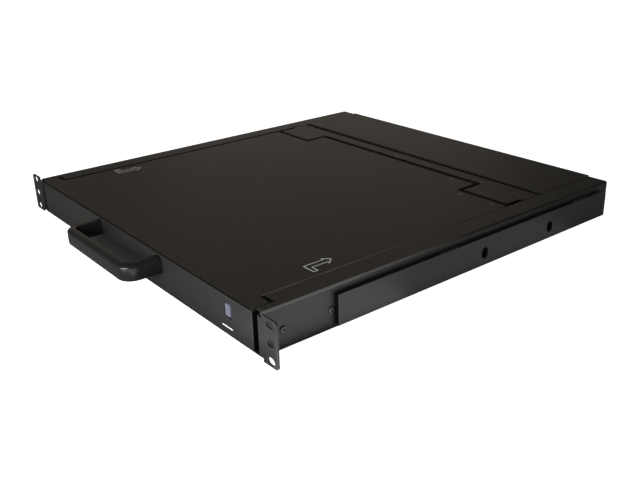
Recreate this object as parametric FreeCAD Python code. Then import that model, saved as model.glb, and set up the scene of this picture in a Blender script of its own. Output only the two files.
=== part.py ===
import FreeCAD, Part
import math
import os

# Rackmount LCD console drawer, one rack unit high, shown closed.
# +X is to the right of someone who faces the front, +Y points to the back, +Z is up.
# The origin is the centre of the rack-ear hole pattern, on the ears' mounting face.
# All sizes are in millimetres.

Vector = FreeCAD.Vector
X_AXIS = Vector(1, 0, 0)
Y_AXIS = Vector(0, 1, 0)
Z_AXIS = Vector(0, 0, 1)

# ---------------------------------------------------------------- driving dimensions
OVERCUT = 1.0                # how far a cut reaches past the face that it opens

# Chassis, the fixed sheet-metal cage
CHASSIS_WIDTH = 438.0
CHASSIS_HEIGHT = 39.6
CHASSIS_DEPTH = 456.0
SHEET = 1.2                  # steel sheet of the chassis, tray and covers
BEND = 2.0                   # outside radius of a fold
FLANGE_WIDTH = 22.5          # top flange of the chassis, over the slides
FLANGE_NOSE_WIDTH = 8.8      # narrow front end of that flange, beside the lid's tongue
FLANGE_SETBACK = 2.6         # the flange starts this far behind the ears
VENT_COUNT = 10
VENT_PITCH = 8.0
VENT_WIDTH = 3.0
VENT_HEIGHT = 16.0
VENT_GAP = 66.0              # from the video connector to the first vent

# Rack ears
EAR_PROJECTION = 22.3        # from the chassis side to the ear's outer edge
EAR_HEIGHT = 41.2
EAR_THICKNESS = 2.0
EAR_LEG = 84.0
EAR_LEG_STEP = 1.0           # the leg is this much lower again than the relieved tab
EAR_CORNER = 3.0
EAR_RELIEF = 3.0             # the tab is this much lower beside the fold
EAR_RELIEF_WIDTH = 6.6
HOLE_INSET = 8.75            # slot centre to the ear's outer edge
HOLE_PITCH = 15.875
SLOT_WIDTH = 6.8
SLOT_LENGTH = 10.0

# Ball slides, three members on each side
SLIDE_THICKNESS = 12.7
SLIDE_HEIGHT = 31.0
SLIDE_LIFT = 1.6             # lower edge above the chassis floor
SLIDE_GAUGE = 1.2
SLIDE_FRONT = 14.0
SLIDE_REAR_GAP = 10.0        # behind the outer member
SLIDE_REST_INSET = 2.0       # the moving members start this far behind the outer one
MIDDLE_SHORTER = 36.0
INNER_REAR_GAP = 0.7         # from the inner member's end to the tray's rear wall
MEMBER_GAP = 0.8
SLIDE_SLOT_START = 12.0
SLIDE_SLOT_LENGTH = 18.0
SLIDE_SLOT_HEIGHT = 8.0
SLIDE_SLOT_CORNER = 2.5
SPACER_RADIUS = 8.0
BALL_DIAMETER = 2.6
BALL_PLAY = 0.05
BALL_SIDES = 6
BALL_BEVEL = 0.5
BALLS_PER_RACE = 2
BALL_SPACING = 60.0
CAGE_WIDTH = 3.2
CAGE_GAUGE = 0.6
CAGE_MARGIN = 6.0            # past the outermost balls
OUTER_CAGE_START = 106.0     # behind the slide's front end
INNER_CAGE_START = 126.0

# Guide sleeves for the rear rack brackets, outside the chassis
SLEEVE_FRONT = 73.0
SLEEVE_REAR_GAP = 7.0
SLEEVE_HEIGHT = 29.0
SLEEVE_BOTTOM_GAP = 3.3      # above the chassis underside
SLEEVE_STANDOFF = 4.5
SLEEVE_CORNER = 7.0
SLEEVE_TAB_LENGTH = 22.0
SLEEVE_TAB_SHARES = (0.33, 0.86)      # places along the sleeve
SLEEVE_HOLE_WIDTH = 5.6
SLEEVE_HOLE_HEIGHT = 9.0
SLEEVE_HOLE_SHARES = (0.479, 0.742)
SLEEVE_HOLE_RISE_SHARE = 0.45

# Rear electronics bay
BAY_DEPTH = 83.6
BAY_RISE = 0.8               # its cover stands this much above the chassis top
BAY_SEAM = 1.2               # seam between the hinge cover and the bay cover
COVER_FRONT_LIP = 10.0
COVER_REAR_LIP = 9.0
COVER_SCREW_DROP = 5.5
COVER_SCREW_INSET = 15.3
COVER_SCREW_SHARES = (-1, -1 / 3, 1 / 3, 1)
COVER_SCREW_HEAD_HEIGHT = 1.0
BOARD_THICKNESS = 1.6
BOARD_LIFT = 8.0             # underside of the board above the chassis floor
BOARD_WIDTH = 250.0
BOARD_DEPTH = 66.0
BOARD_REAR_GAP = 3.0
STANDOFF_RADIUS = 3.5
STANDOFF_INSET_X = 15.0
STANDOFF_INSET_Y = 6.0
# Chips: left and front edge and size as shares of the board, height in board thicknesses
BOARD_CHIPS = (
    (0.22, 0.30, 0.33, 1.5), (0.42, 0.39, 0.42, 5.0),
    (0.66, 0.24, 0.27, 1.25), (0.82, 0.52, 0.21, 1.25),
)

# Rear connectors, on one line above the board
CONNECTOR_LIFT = 6.0         # axis above the board
DC_INLET_INSET = 41.0        # from the board's left end
DC_BODY_WIDTH = 14.0
DC_BODY_DEPTH = 16.0
DC_BODY_RISE = 5.6
DC_NOSE_RADIUS = 4.8
DC_NOSE_LENGTH = 4.0
DC_NOSE_PLAY = 0.2
DC_BORE_RADIUS = 2.8
DC_BORE_DEPTH = 6.0
DC_PIN_RADIUS = 1.0
DC_PIN_REACH = 2.5
ROUND_SIDES = 16             # sides of a small turned form
USB_PITCH = 50.0             # from the power inlet
USB_WIDTH = 12.0
USB_DEPTH = 17.0
USB_RISE = 5.4
USB_PROUD = 0.8
USB_OPENING_PLAY = 0.4
USB_OPENING_DROP = 6.4
USB_MOUTH_WIDTH = 8.4
USB_MOUTH_HEIGHT = 7.8
USB_MOUTH_DEPTH = 9.0
USB_MOUTH_CORNER = 1.6
USB_TONGUE_WIDTH = 5.6
USB_TONGUE_HEIGHT = 3.2
USB_TONGUE_INSET = 1.0
VIDEO_PITCH = 58.0           # from the square socket
VIDEO_WIDTH = 30.8
VIDEO_DEPTH = 12.0
VIDEO_RISE = 6.2
VIDEO_NOSE_TOP = 16.4
VIDEO_NOSE_BOTTOM = 13.8
VIDEO_NOSE_HEIGHT = 8.2
VIDEO_NOSE_LENGTH = 5.6
VIDEO_NOSE_CORNER = 1.6
VIDEO_OPENING_PLAY = 0.4
SOCKET_COLUMNS = 5
SOCKET_PITCH = 2.3
SOCKET_ROW_PITCH = 2.0
SOCKET_STAGGER = 1.1
SOCKET_SIZE = 0.8
SOCKET_DEPTH = 3.6

# Drawer: tray, bezel and handle
TRAY_CLEARANCE = 1.3         # under the tray
TRAY_SIDE_HEIGHT = 32.5
BUTTON_WAY_WIDTH = 18.0
BOLT_WAY_PLAY = 0.5
CABLE_WAY_WIDTH = 48.0
CABLE_WAY_HEIGHT = 14.0
CABLE_WAY_LIFT = 4.0
BEZEL_THICKNESS = 2.0
BEZEL_CLEARANCE = 0.5        # between the bezel and the lid above, the floor below
BEZEL_SIDE_GAP = 1.2         # beside the flange noses
BEZEL_SIDE_RETURN = 4.0
BEZEL_FOLD = 1.2
BEZEL_CORNER = 0.8
LATCH_BAY = 16.0             # depth of the latch compartment behind the bezel face
LATCH_COVER_DROP = 6.0       # the compartment's rear plate reaches this far below the deck
HANDLE_WIDTH = 134.0
HANDLE_REACH = 37.0
HANDLE_HEIGHT = 16.0
HANDLE_BOTTOM = 0.0
HANDLE_LEG = 9.0
HANDLE_BAR = 8.0
HANDLE_CORNER = 15.0
HANDLE_BEVEL = 3.2
HANDLE_SOFT = 0.8
HANDLE_SCREW_REACH = 12.0    # into the leg
HANDLE_SCREW_PLAY = 2.0
HANDLE_SCREW_HEAD_HEIGHT = 2.4
BUMPER_WIDTH = 12.0
BUMPER_DEPTH = 5.0
BUMPER_INSET = 18.0
BUMPER_SETBACK = 4.0
BUMPER_PLAY = 0.1

# Release button and latch
BUTTON_INSET = 34.0          # from the bezel's right end
BUTTON_Z = 5.5
BUTTON_WIDTH = 9.4
BUTTON_HEIGHT = 13.4
BUTTON_RECESS = 0.8
BUTTON_PLAY = 0.3
BUTTON_CORNER = 0.6
BUTTON_TRAVEL = 3.0
BUTTON_FLANGE = 1.6
BUTTON_SEAT = 0.4            # gap in front of the flange
TAIL_FRONT = 3.0
TAIL_REAR = 8.0
TAIL_OFFSET = 7.4            # the wedge's face, left of the button's axis
BOLT_FRONT = 5.0
BOLT_REAR = 11.0
BOLT_DROP = 5.5              # below the button
BOLT_HEIGHT = 4.0
BOLT_TONGUE = 1.4            # the hook's rear rail
BOLT_HOOK = 12.0             # the hook's end, left of the button's axis
BOLT_SHOULDER = 6.0
BOLT_NOSE = 3.0
LATCH_GAP = 0.3
STRIKE_PLAY = 1.0
GUIDE_SHELF = 1.2
GUIDE_END_GAP = 4.0
SPRING_LENGTH = 12.0
LEAF = 0.6
LEAF_FOLDS = 6
LEAF_REACH = 2.6

# Keyboard
DECK_TOP_DROP = 22.8         # deck surface below the chassis top
DECK_SHEET = 1.6
DECK_SIDE_GAP = 1.0
DECK_FRONT = 15.2
DECK_REAR_GAP = 2.7          # in front of the lid's rear corners
DECK_CORNER = 2.5
DECK_BEVEL = 0.8
KEY_PITCH = 18.0
KEY_GAP = 1.0
KEY_TAPER = 1.7
KEY_FRONT_TAPER = 1.2
KEY_HEIGHT = 5.0             # above the deck
KEY_SKIRT = 2.2              # below the deck surface
KEYBOARD_REAR_MARGIN = 59.0  # deck behind the keys
FUNCTION_KEY_DEPTH = 14.0
FUNCTION_GAP = 4.0
NUMPAD_GAP = 6.0
STEM_WIDTH = 6.0
STEM_DEPTH = 4.0
STEM_PLAY = 0.3
KEY_PLATE_LIFT = 5.0         # plate's top above the tray floor
KEY_PLATE_SHEET = 1.0
KEY_PLATE_MARGIN = 3.0
STEM_ENGAGEMENT = 1.6        # stem's end below the plate's top
TOUCHPAD_WIDTH = 68.0
TOUCHPAD_DEPTH = 46.0
TOUCHPAD_PLAY = 0.2
TOUCHPAD_RECESS = 0.4
PAD_FOOT_INSET = 6.0
PAD_FOOT_DROP = 2.6
PAD_BUTTON_DEPTH = 14.0
PAD_BUTTON_GAP = 2.0
PAD_BUTTON_SPLIT = 0.7       # from the middle to each button
PAD_BUTTON_PLAY = 0.3
PAD_BUTTON_SKIRT = 1.2
PAD_BUTTON_RISE = 0.4
LENS_RADIUS = 1.4
LENS_PLAY = 0.2
LENS_SPACING = 12.0
LENS_BEHIND_KEYS = 14.0
LENS_SKIRT = 2.0
LENS_RISE = 0.3

# Display
LID_GAP = 1.2                # between the lid and the chassis flanges
LID_SEAM = 2.5               # behind the lid, where its rear edge swings down
LID_SOFT = 0.9
TONGUE_DEPTH = 19.5
TONGUE_NOTCH = 2.5           # gap behind the tongue's shoulders
TONGUE_CORNER = 1.0
TONGUE_SOFT = 0.5
DISPLAY_FRONT = 16.0
DISPLAY_THICKNESS = 12.5
FRAME_THICKNESS = 1.6
FRAME_BEVEL = 0.6
FRAME_RIM_GAP = 2.2          # between the lid's wall and the frame's inner rim
FRAME_RIM = 1.6
FRAME_RIM_HEIGHT = 2.0
STRIP_DEPTH = 20.4           # fixed strip behind the lid
CORNER_SETBACK = 28.3        # the lid's rear corners, in front of its centre's rear edge
HINGE_BAY_WIDTH = 65.4       # cut-back corner of the lid, from its side
CORNER_SEAM = 1.3
CORNER_STEP = 2.4            # the rim is this far inside the lid's top sheet at the rear corners
LID_SCREW_SETBACK = 8.0
LID_SCREW_CORNER_SETBACK = 8.5
LID_SCREW_INNER = 29.0       # centre screws, from the side of the lid's centre
LID_SCREW_MIDDLE = 12.0
LID_SCREW_OUTER = 13.5       # from the lid's side
LID_SCREW_STAGGER = 1.0
WINDOW_SIDE_BORDER = 25.3
WINDOW_FRONT = 30.0
WINDOW_REAR_BORDER = 16.7
PANEL_BORDER = 8.0
PANEL_THICKNESS = 4.4
DRIVER_BOARD_WIDTH = 160.0
DRIVER_BOARD_DEPTH = 80.0
DRIVER_BOARD_START = 70.0    # behind the window's front
DRIVER_CHIP = 32.0
DRIVER_CHIP_START = 20.0
DRIVER_CHIP_HEIGHT = 1.6
DRIVER_SOCKET_WIDTH = 30.0
DRIVER_SOCKET_DEPTH = 8.0
DRIVER_SOCKET_HEIGHT = 2.2
DRIVER_SOCKET_X = 40.0
OSD_SPACING = 16.0
OSD_COUNT = 4
OSD_WIDTH = 9.0
OSD_DEPTH = 4.6
OSD_PLAY = 0.3
OSD_PROUD = 0.8
OSD_BEVEL = 0.4
OSD_BRIM = 1.0
OSD_BRIM_THICKNESS = 0.6
OSD_TRAVEL = 0.6
OSD_TRAVEL_GAP = 0.4
OSD_BOARD_MARGIN = 6.0
OSD_BOARD_THICKNESS = 1.2
OSD_RIB = 2.0
OSD_REAR_INSET = 30.0        # buttons in front of the lid's rear edge

# Hinges
HINGE_SETBACK = 13.0         # axis in front of the lid's centre rear edge
HINGE_DROP = 8.8             # axis below the chassis top
HINGE_PIN_RADIUS = 3.0
HINGE_PIN_PLAY = 0.06
HINGE_PIN_REACH = 1.5        # past the barrel
HINGE_BARREL_RADIUS = 5.2
HINGE_BARREL_LENGTH = 16.0
HINGE_BARREL_GAP = 0.6
HINGE_ARM_THICKNESS = 2.0
HINGE_ARM_EYE = 4.5
HINGE_ARM_BELOW = 2.0
HINGE_ARM_REACH = 30.0       # in front of the lid's rear corners
HINGE_ARM_PLAY = 0.4
HINGE_SLOT_PLAY = 0.7
HINGE_SLOT_REAR = 11.5       # end of the arm's slot behind the axis
HINGE_FOOT_THICKNESS = 2.0
HINGE_FOOT_FRONT = 12.0      # in front of the axis
HINGE_FOOT_REAR = 18.0
HINGE_FOOT_WIDTH = 18.0
HINGE_UPRIGHT = 3.0
HINGE_UPRIGHT_INSET = 4.0
HINGE_UPRIGHT_TOP = 5.0
STRIP_FLANGE = 14.0          # the fixed strip's rear flange, down the tray wall
STRIP_POST_RADIUS = 3.4
STRIP_SCREW_SETBACK = 6.0
STRIP_SCREW_SIDE = 1.2

# Screws
SCREW_SHANK = 1.95
SCREW_HOLE = 2.0
SIDE_SCREW_HEAD = 3.5
SIDE_SCREW_HEAD_HEIGHT = 1.2
SIDE_SCREW_FRONT = 20.0      # first side screw, behind the ear's mounting face
SIDE_SCREW_EAR_PITCH = 49.0
SIDE_SCREW_REAR = 26.0       # last side screw, in front of the chassis's rear
SIDE_SCREW_MIDDLE = 136.0
SIDE_SCREW_FAR = 256.0
HEAD_SIDES = 8
SMALL_SCREW_SHANK = 1.25
SMALL_SCREW_HOLE = 1.3
SMALL_SCREW_HEAD = 2.3
SMALL_SCREW_HEAD_HEIGHT = 0.4
SMALL_SCREW_LENGTH = 5.0
LID_SCREW_LENGTH = 1.0

# ---------------------------------------------------------------- derived places
chassis_side = CHASSIS_WIDTH / 2
wall_face = chassis_side - SHEET
top = CHASSIS_HEIGHT / 2
bottom = -top
under_top = top - SHEET
floor_top = bottom + SHEET
flange_edge = chassis_side - FLANGE_WIDTH
nose_edge = chassis_side - FLANGE_NOSE_WIDTH

ear_inner = wall_face - EAR_THICKNESS
ear_outer = chassis_side + EAR_PROJECTION
hole_x = ear_outer - HOLE_INSET

tray_side = ear_inner - SLIDE_THICKNESS
tray_bottom = floor_top + TRAY_CLEARANCE
tray_floor = tray_bottom + SHEET
tray_top = tray_bottom + TRAY_SIDE_HEIGHT
bay_front = CHASSIS_DEPTH - BAY_DEPTH
tray_rear = bay_front - BAY_SEAM - SHEET - CORNER_SEAM

slide_z = floor_top + SLIDE_LIFT + SLIDE_HEIGHT / 2
outer_length = CHASSIS_DEPTH - SLIDE_FRONT - SLIDE_REAR_GAP
middle_length = outer_length - MIDDLE_SHORTER
moving_front = SLIDE_FRONT + SLIDE_REST_INSET
inner_length = tray_rear - INNER_REAR_GAP - moving_front
race_space = BALL_DIAMETER + 2 * BALL_PLAY
outer_half = SLIDE_HEIGHT / 2
middle_half = outer_half - SLIDE_GAUGE - race_space
inner_half = middle_half - SLIDE_GAUGE - race_space
outer_depth = SLIDE_THICKNESS * 0.72
middle_start = SLIDE_GAUGE + MEMBER_GAP
middle_depth = SLIDE_THICKNESS - SLIDE_GAUGE - MEMBER_GAP
inner_start = SLIDE_THICKNESS * 0.33

ear_screw_places = (SIDE_SCREW_FRONT, SIDE_SCREW_FRONT + SIDE_SCREW_EAR_PITCH)
slide_screw_gaps = (SIDE_SCREW_FAR, SIDE_SCREW_MIDDLE, SIDE_SCREW_REAR)
slide_screw_places = tuple(CHASSIS_DEPTH - gap for gap in slide_screw_gaps)
side_screw_places = ear_screw_places + slide_screw_places

bezel_side = nose_edge - BEZEL_SIDE_GAP
bezel_face = -EAR_THICKNESS
bezel_back = bezel_face + BEZEL_THICKNESS
bezel_top = under_top - BEZEL_CLEARANCE
bezel_bottom = floor_top + BEZEL_CLEARANCE
handle_screw_x = HANDLE_WIDTH / 2 - HANDLE_LEG / 2
handle_screw_z = HANDLE_BOTTOM + HANDLE_HEIGHT / 2

button_x = bezel_side - BUTTON_INSET
button_low = BUTTON_Z - BUTTON_HEIGHT / 2
button_high = BUTTON_Z + BUTTON_HEIGHT / 2
bolt_bottom = button_low - BOLT_DROP
bolt_top = bolt_bottom + BOLT_HEIGHT
bolt_tip = ear_inner - LATCH_GAP
bolt_back = BOLT_REAR + BOLT_TONGUE
ramp = button_x - TAIL_OFFSET
spring_right = button_x - BOLT_HOOK
spring_left = spring_right - SPRING_LENGTH

strip_rear = tray_rear + SHEET
strip_front = strip_rear - STRIP_DEPTH
lid_side = flange_edge - LID_GAP
lid_inside = lid_side - SHEET
lid_front = bezel_face
tongue_rear = lid_front + TONGUE_DEPTH
notch_rear = tongue_rear + TONGUE_NOTCH
lid_centre = lid_side - HINGE_BAY_WIDTH
lid_centre_rear = strip_front - LID_SEAM
lid_corner_rear = lid_centre_rear - CORNER_SETBACK
corner_front = lid_corner_rear + CORNER_SEAM
display_face = top - DISPLAY_THICKNESS
frame_back = display_face + FRAME_THICKNESS
window_half = lid_side - WINDOW_SIDE_BORDER
window_rear = lid_corner_rear - WINDOW_REAR_BORDER
osd_y = lid_centre_rear - OSD_REAR_INSET

hinge_y = lid_centre_rear - HINGE_SETBACK
hinge_z = top - HINGE_DROP
arm_outer = lid_inside
arm_inner = arm_outer - HINGE_ARM_THICKNESS
barrel_outer = arm_inner - HINGE_BARREL_GAP
barrel_inner = barrel_outer - HINGE_BARREL_LENGTH

deck_top = top - DECK_TOP_DROP
deck_under = deck_top - DECK_SHEET
deck_side = tray_side - SHEET - DECK_SIDE_GAP
deck_rear = lid_corner_rear - DECK_REAR_GAP

board_rear = CHASSIS_DEPTH - SHEET - BOARD_REAR_GAP
board_front = board_rear - BOARD_DEPTH
board_base = floor_top + BOARD_LIFT
board_top = board_base + BOARD_THICKNESS
connector_back = CHASSIS_DEPTH - SHEET
connector_z = board_top + CONNECTOR_LIFT
dc_inlet_x = DC_INLET_INSET - BOARD_WIDTH / 2
usb_x = dc_inlet_x + USB_PITCH
video_x = usb_x + VIDEO_PITCH
cover_top = top + BAY_RISE
cover_screw_x = [share * (lid_side - COVER_SCREW_INSET) for share in COVER_SCREW_SHARES]


# ---------------------------------------------------------------- helpers
def block(x, y, z):
    """A box between pairs of lower and upper coordinates."""
    return Part.makeBox(x[1] - x[0], y[1] - y[0], z[1] - z[0], Vector(x[0], y[0], z[0]))


def around(centre, size):
    """Lower and upper coordinate of a span of that size."""
    return centre - size / 2, centre + size / 2


def widened(span, margin):
    return span[0] - margin, span[1] + margin


def through(low, high):
    """The span of a cut that opens both faces of a wall."""
    return widened((low, high), OVERCUT)


def rod(radius, start, end):
    """A cylinder from one point to another."""
    run = Vector(*end).sub(Vector(*start))
    return Part.makeCylinder(radius, run.Length, Vector(*start), run)


def faceted_rod(radius, start, end, sides=6):
    """A many-sided rod, for small round features that repeat often."""
    run = Vector(*end).sub(Vector(*start))
    across = Z_AXIS if abs(run.z) < 1e-6 else X_AXIS
    points = []
    for count in range(sides + 1):
        turn = FreeCAD.Rotation(run, 360.0 * (count + 0.5) / sides)
        points.append(Vector(*start).add(turn.multVec(across * radius)))
    return Part.Face(Part.makePolygon(points)).extrude(run)


def slab(points, z):
    """A prism over a closed outline in plan."""
    outline = Part.makePolygon([Vector(x, y, z[0]) for x, y in points + points[:1]])
    return Part.Face(outline).extrude(Vector(0, 0, z[1] - z[0]))


def side_profile(points, x):
    """A prism along X over a closed outline seen from the side."""
    outline = Part.makePolygon([Vector(x[0], y, z) for y, z in points + points[:1]])
    return Part.Face(outline).extrude(Vector(x[1] - x[0], 0, 0))


def front_profile(points, y):
    """A prism along Y over a closed outline seen from the front."""
    outline = Part.makePolygon([Vector(x, y[0], z) for x, z in points + points[:1]])
    return Part.Face(outline).extrude(Vector(0, y[1] - y[0], 0))


def edges_along(solid, axis, keep=None):
    """Straight edges parallel to an axis, picked further by their middle point."""
    found = []
    for edge in solid.Edges:
        if edge.Curve.TypeId != "Part::GeomLine":
            continue
        run = edge.Vertexes[-1].Point.sub(edge.Vertexes[0].Point)
        if run.normalize().cross(axis).Length < 1e-6 and (keep is None or keep(edge.CenterOfMass)):
            found.append(edge)
    return found


def rounded(solid, radius, axis, keep=None):
    return solid.makeFillet(radius, edges_along(solid, axis, keep))


def bevelled(solid, size, axis, keep=None):
    return solid.makeChamfer(size, edges_along(solid, axis, keep))


def joined(shapes):
    whole = shapes[0]
    for shape in shapes[1:]:
        whole = whole.fuse(shape)
    return whole.removeSplitter()


def cut_away(solid, tools):
    return solid.cut(Part.makeCompound(tools))


def mirrored(shape):
    return shape.mirror(Vector(0, 0, 0), X_AXIS)


def both_sides(shapes):
    """The shapes and their mirror images on the left."""
    return shapes + [mirrored(shape) for shape in shapes]


def save(name, shape):
    shape.exportStep("parts/" + name + ".step")


def save_group(name, shapes):
    save(name, Part.makeCompound(shapes))


def save_pair(name, right):
    save(name + "_right", right)
    save(name + "_left", mirrored(right))


def folded_channel(x, y, z, radius):
    """A rectangular sheet tube along Y with folded corners, open at both ends."""
    outer = rounded(block(x, y, z), radius, Y_AXIS)
    inner = block(widened(x, -SHEET), y, widened(z, -SHEET))
    return outer.cut(rounded(inner, radius - SHEET, Y_AXIS))


def screw(head_radius, head_height, shank_radius, seat, end):
    """A low-headed screw: seat is under the head, end is the shank's tip."""
    shank = faceted_rod(shank_radius, seat, end)
    run = Vector(*end).sub(Vector(*seat)).normalize()
    crown = Vector(*seat).sub(run * head_height)
    head = faceted_rod(head_radius, seat, tuple(crown), HEAD_SIDES)
    return joined([shank, head])


def side_screw(y, tip):
    seat = (chassis_side, y, slide_z)
    return screw(SIDE_SCREW_HEAD, SIDE_SCREW_HEAD_HEIGHT, SCREW_SHANK, seat, (tip, y, slide_z))


def side_holes(x, places):
    """Screw holes across a side wall, between two x coordinates."""
    return [faceted_rod(SCREW_HOLE, (x[0], y, slide_z), (x[1], y, slide_z)) for y in places]


def top_screws(places, tip):
    """Small screws down through a top sheet."""
    screws = []
    for x, y in places:
        seat = (x, y, top)
        screws.append(screw(SMALL_SCREW_HEAD, SMALL_SCREW_HEAD_HEIGHT, SMALL_SCREW_SHANK, seat, (x, y, tip)))
    return screws


def small_holes(places, z):
    """Holes for the small screws, through a horizontal sheet."""
    return [faceted_rod(SMALL_SCREW_HOLE, (x, y, z[0]), (x, y, z[1])) for x, y in places]


# ---------------------------------------------------------------- chassis
def rear_wall():
    """Upturned back of the chassis, with its connector openings and vents."""
    wall = block((-wall_face, wall_face), (connector_back, CHASSIS_DEPTH), (floor_top, under_top))
    y = through(connector_back, CHASSIS_DEPTH)
    inlet_ends = ((dc_inlet_x, y[0], connector_z), (dc_inlet_x, y[1], connector_z))
    usb_z = (connector_z - USB_OPENING_DROP, connector_z + USB_RISE + USB_OPENING_PLAY)
    video_z = widened(around(connector_z, VIDEO_NOSE_HEIGHT), VIDEO_OPENING_PLAY)
    openings = [
        faceted_rod(DC_NOSE_RADIUS + DC_NOSE_PLAY, *inlet_ends, ROUND_SIDES),
        block(widened(around(usb_x, USB_WIDTH), USB_OPENING_PLAY), y, usb_z),
        block(widened(around(video_x, VIDEO_NOSE_TOP), VIDEO_OPENING_PLAY), y, video_z),
    ]
    for count in range(VENT_COUNT):
        left = video_x + VENT_GAP + count * VENT_PITCH
        openings.append(block((left, left + VENT_WIDTH), y, around(0, VENT_HEIGHT)))
    return cut_away(wall, openings)


def board_standoffs():
    """Four posts that carry the controller board."""
    x = BOARD_WIDTH / 2 - STANDOFF_INSET_X
    rows = (board_front + STANDOFF_INSET_Y, board_rear - STANDOFF_INSET_Y)
    return both_sides([faceted_rod(STANDOFF_RADIUS, (x, y, floor_top), (x, y, board_base)) for y in rows])


def chassis_shell():
    """Floor, sides and inward top flanges folded from one sheet, with the rear wall."""
    cage = folded_channel((-chassis_side, chassis_side), (0, CHASSIS_DEPTH), (bottom, top), BEND)
    above = (floor_top + BEND, top + OVERCUT)
    mouth = block((-flange_edge, flange_edge), (notch_rear, CHASSIS_DEPTH + OVERCUT), above)
    nose = block((-nose_edge, nose_edge), (-OVERCUT, notch_rear), above)
    lip = block((-wall_face, wall_face), (-OVERCUT, FLANGE_SETBACK), above)
    holes = both_sides(side_holes(through(wall_face, chassis_side), side_screw_places))
    cage = cut_away(cage, [mouth, nose, lip] + holes)
    return joined([cage, rear_wall()] + board_standoffs())


def rack_ear():
    """Right ear: slotted tab in front of the chassis, leg inside the chassis wall."""
    half = EAR_HEIGHT / 2
    tab = block((ear_inner, ear_outer), (-EAR_THICKNESS, 0), (-half, half))
    tab = rounded(tab, EAR_CORNER, Y_AXIS, lambda middle: middle.x > ear_outer - EAR_CORNER)
    y = through(-EAR_THICKNESS, 0)
    relief_x = (ear_inner - OVERCUT, ear_inner + EAR_RELIEF_WIDTH)
    cuts = [
        block(relief_x, y, (half - EAR_RELIEF, half + OVERCUT)),
        block(relief_x, y, (-half - OVERCUT, EAR_RELIEF - half)),
    ]
    for row in (-1, 0, 1):
        slot = block(around(hole_x, SLOT_LENGTH), y, around(row * HOLE_PITCH, SLOT_WIDTH))
        cuts.append(rounded(slot, SLOT_WIDTH * 0.499, Y_AXIS))
    leg_half = half - EAR_RELIEF - EAR_LEG_STEP
    leg = block((ear_inner, wall_face), (-EAR_THICKNESS, EAR_LEG), (-leg_half, leg_half))
    ear = joined([cut_away(tab, cuts), leg])
    fold = EAR_THICKNESS * 0.9
    ear = rounded(ear, fold, Z_AXIS, lambda middle: middle.x < wall_face - OVERCUT and middle.y < 0)
    wall = through(ear_inner, wall_face)
    strike_y = widened((BOLT_FRONT, BOLT_REAR), STRIKE_PLAY)
    strike = block(wall, strike_y, widened((bolt_bottom, bolt_top), STRIKE_PLAY))
    return cut_away(ear, [strike] + side_holes(wall, ear_screw_places))


def slide_spacers():
    """Round spacers behind the slides, as thick as the ears' legs."""
    wall = through(ear_inner, wall_face)
    spacers = []
    for y in slide_screw_places:
        disc = faceted_rod(SPACER_RADIUS, (ear_inner, y, slide_z), (wall_face, y, slide_z))
        spacers.append(cut_away(disc, side_holes(wall, [y])))
    return both_sides(spacers)


def side_sleeve():
    """Right sleeve: a plate held off the chassis side by its bottom return and two tabs."""
    low = bottom + SLEEVE_BOTTOM_GAP
    high = low + SLEEVE_HEIGHT
    y = (SLEEVE_FRONT, CHASSIS_DEPTH - SLEEVE_REAR_GAP)
    length = y[1] - y[0]
    face = chassis_side + SLEEVE_STANDOFF
    plate = block((face - SHEET, face), y, (low, high))
    plate = rounded(plate, SLEEVE_CORNER, X_AXIS, lambda middle: middle.z > 0 and middle.y > y[1] - OVERCUT)
    pieces = [plate, block((chassis_side, face), y, (low, low + SHEET))]
    for share in SLEEVE_TAB_SHARES:
        start = y[0] + share * length
        pieces.append(block((chassis_side, face), (start, start + SLEEVE_TAB_LENGTH), (high - SHEET, high)))
    sleeve = joined(pieces)
    half_sheet = SHEET / 2
    sleeve = rounded(sleeve, SHEET, Y_AXIS, lambda at: at.x > face - half_sheet and at.z < low + half_sheet)
    holes = []
    hole_z = around(low + SLEEVE_HEIGHT * SLEEVE_HOLE_RISE_SHARE, SLEEVE_HOLE_HEIGHT)
    for share in SLEEVE_HOLE_SHARES:
        hole_y = around(y[0] + share * length, SLEEVE_HOLE_WIDTH)
        hole = block((chassis_side + SLEEVE_STANDOFF / 2, face + OVERCUT), hole_y, hole_z)
        holes.append(rounded(hole, SLEEVE_HOLE_WIDTH * 0.49, X_AXIS))
    return cut_away(sleeve, holes)


# ---------------------------------------------------------------- electronics bay
def rear_cover():
    """Cover of the electronics bay: top, two sides and a short front and rear lip."""
    y = (bay_front, CHASSIS_DEPTH)
    outer = block((-lid_side, lid_side), y, (floor_top, cover_top))
    outer = rounded(outer, BEND, Y_AXIS, lambda middle: middle.z > 0)
    hollow = block((-lid_inside, lid_inside), through(*y), (floor_top - OVERCUT, cover_top - SHEET))
    hollow = rounded(hollow, BEND - SHEET, Y_AXIS, lambda middle: middle.z > 0)
    wall_room = block(
        through(-lid_side, lid_side),
        (connector_back, CHASSIS_DEPTH + OVERCUT),
        (floor_top - OVERCUT, cover_top - SHEET),
    )
    cover = cut_away(outer, [hollow, wall_room])
    front_z = (cover_top - COVER_FRONT_LIP, cover_top - SHEET)
    front_lip = block((-lid_inside, lid_inside), (y[0], y[0] + SHEET), front_z)
    rear_z = (cover_top - COVER_REAR_LIP, cover_top)
    rear_lip = block((-lid_side, lid_side), (CHASSIS_DEPTH, CHASSIS_DEPTH + SHEET), rear_z)
    cover = joined([cover, front_lip, rear_lip])
    z = cover_top - COVER_SCREW_DROP
    ends = through(connector_back, CHASSIS_DEPTH + SHEET)
    holes = [faceted_rod(SMALL_SCREW_HOLE, (x, ends[0], z), (x, ends[1], z)) for x in cover_screw_x]
    return cut_away(cover, holes)


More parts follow.
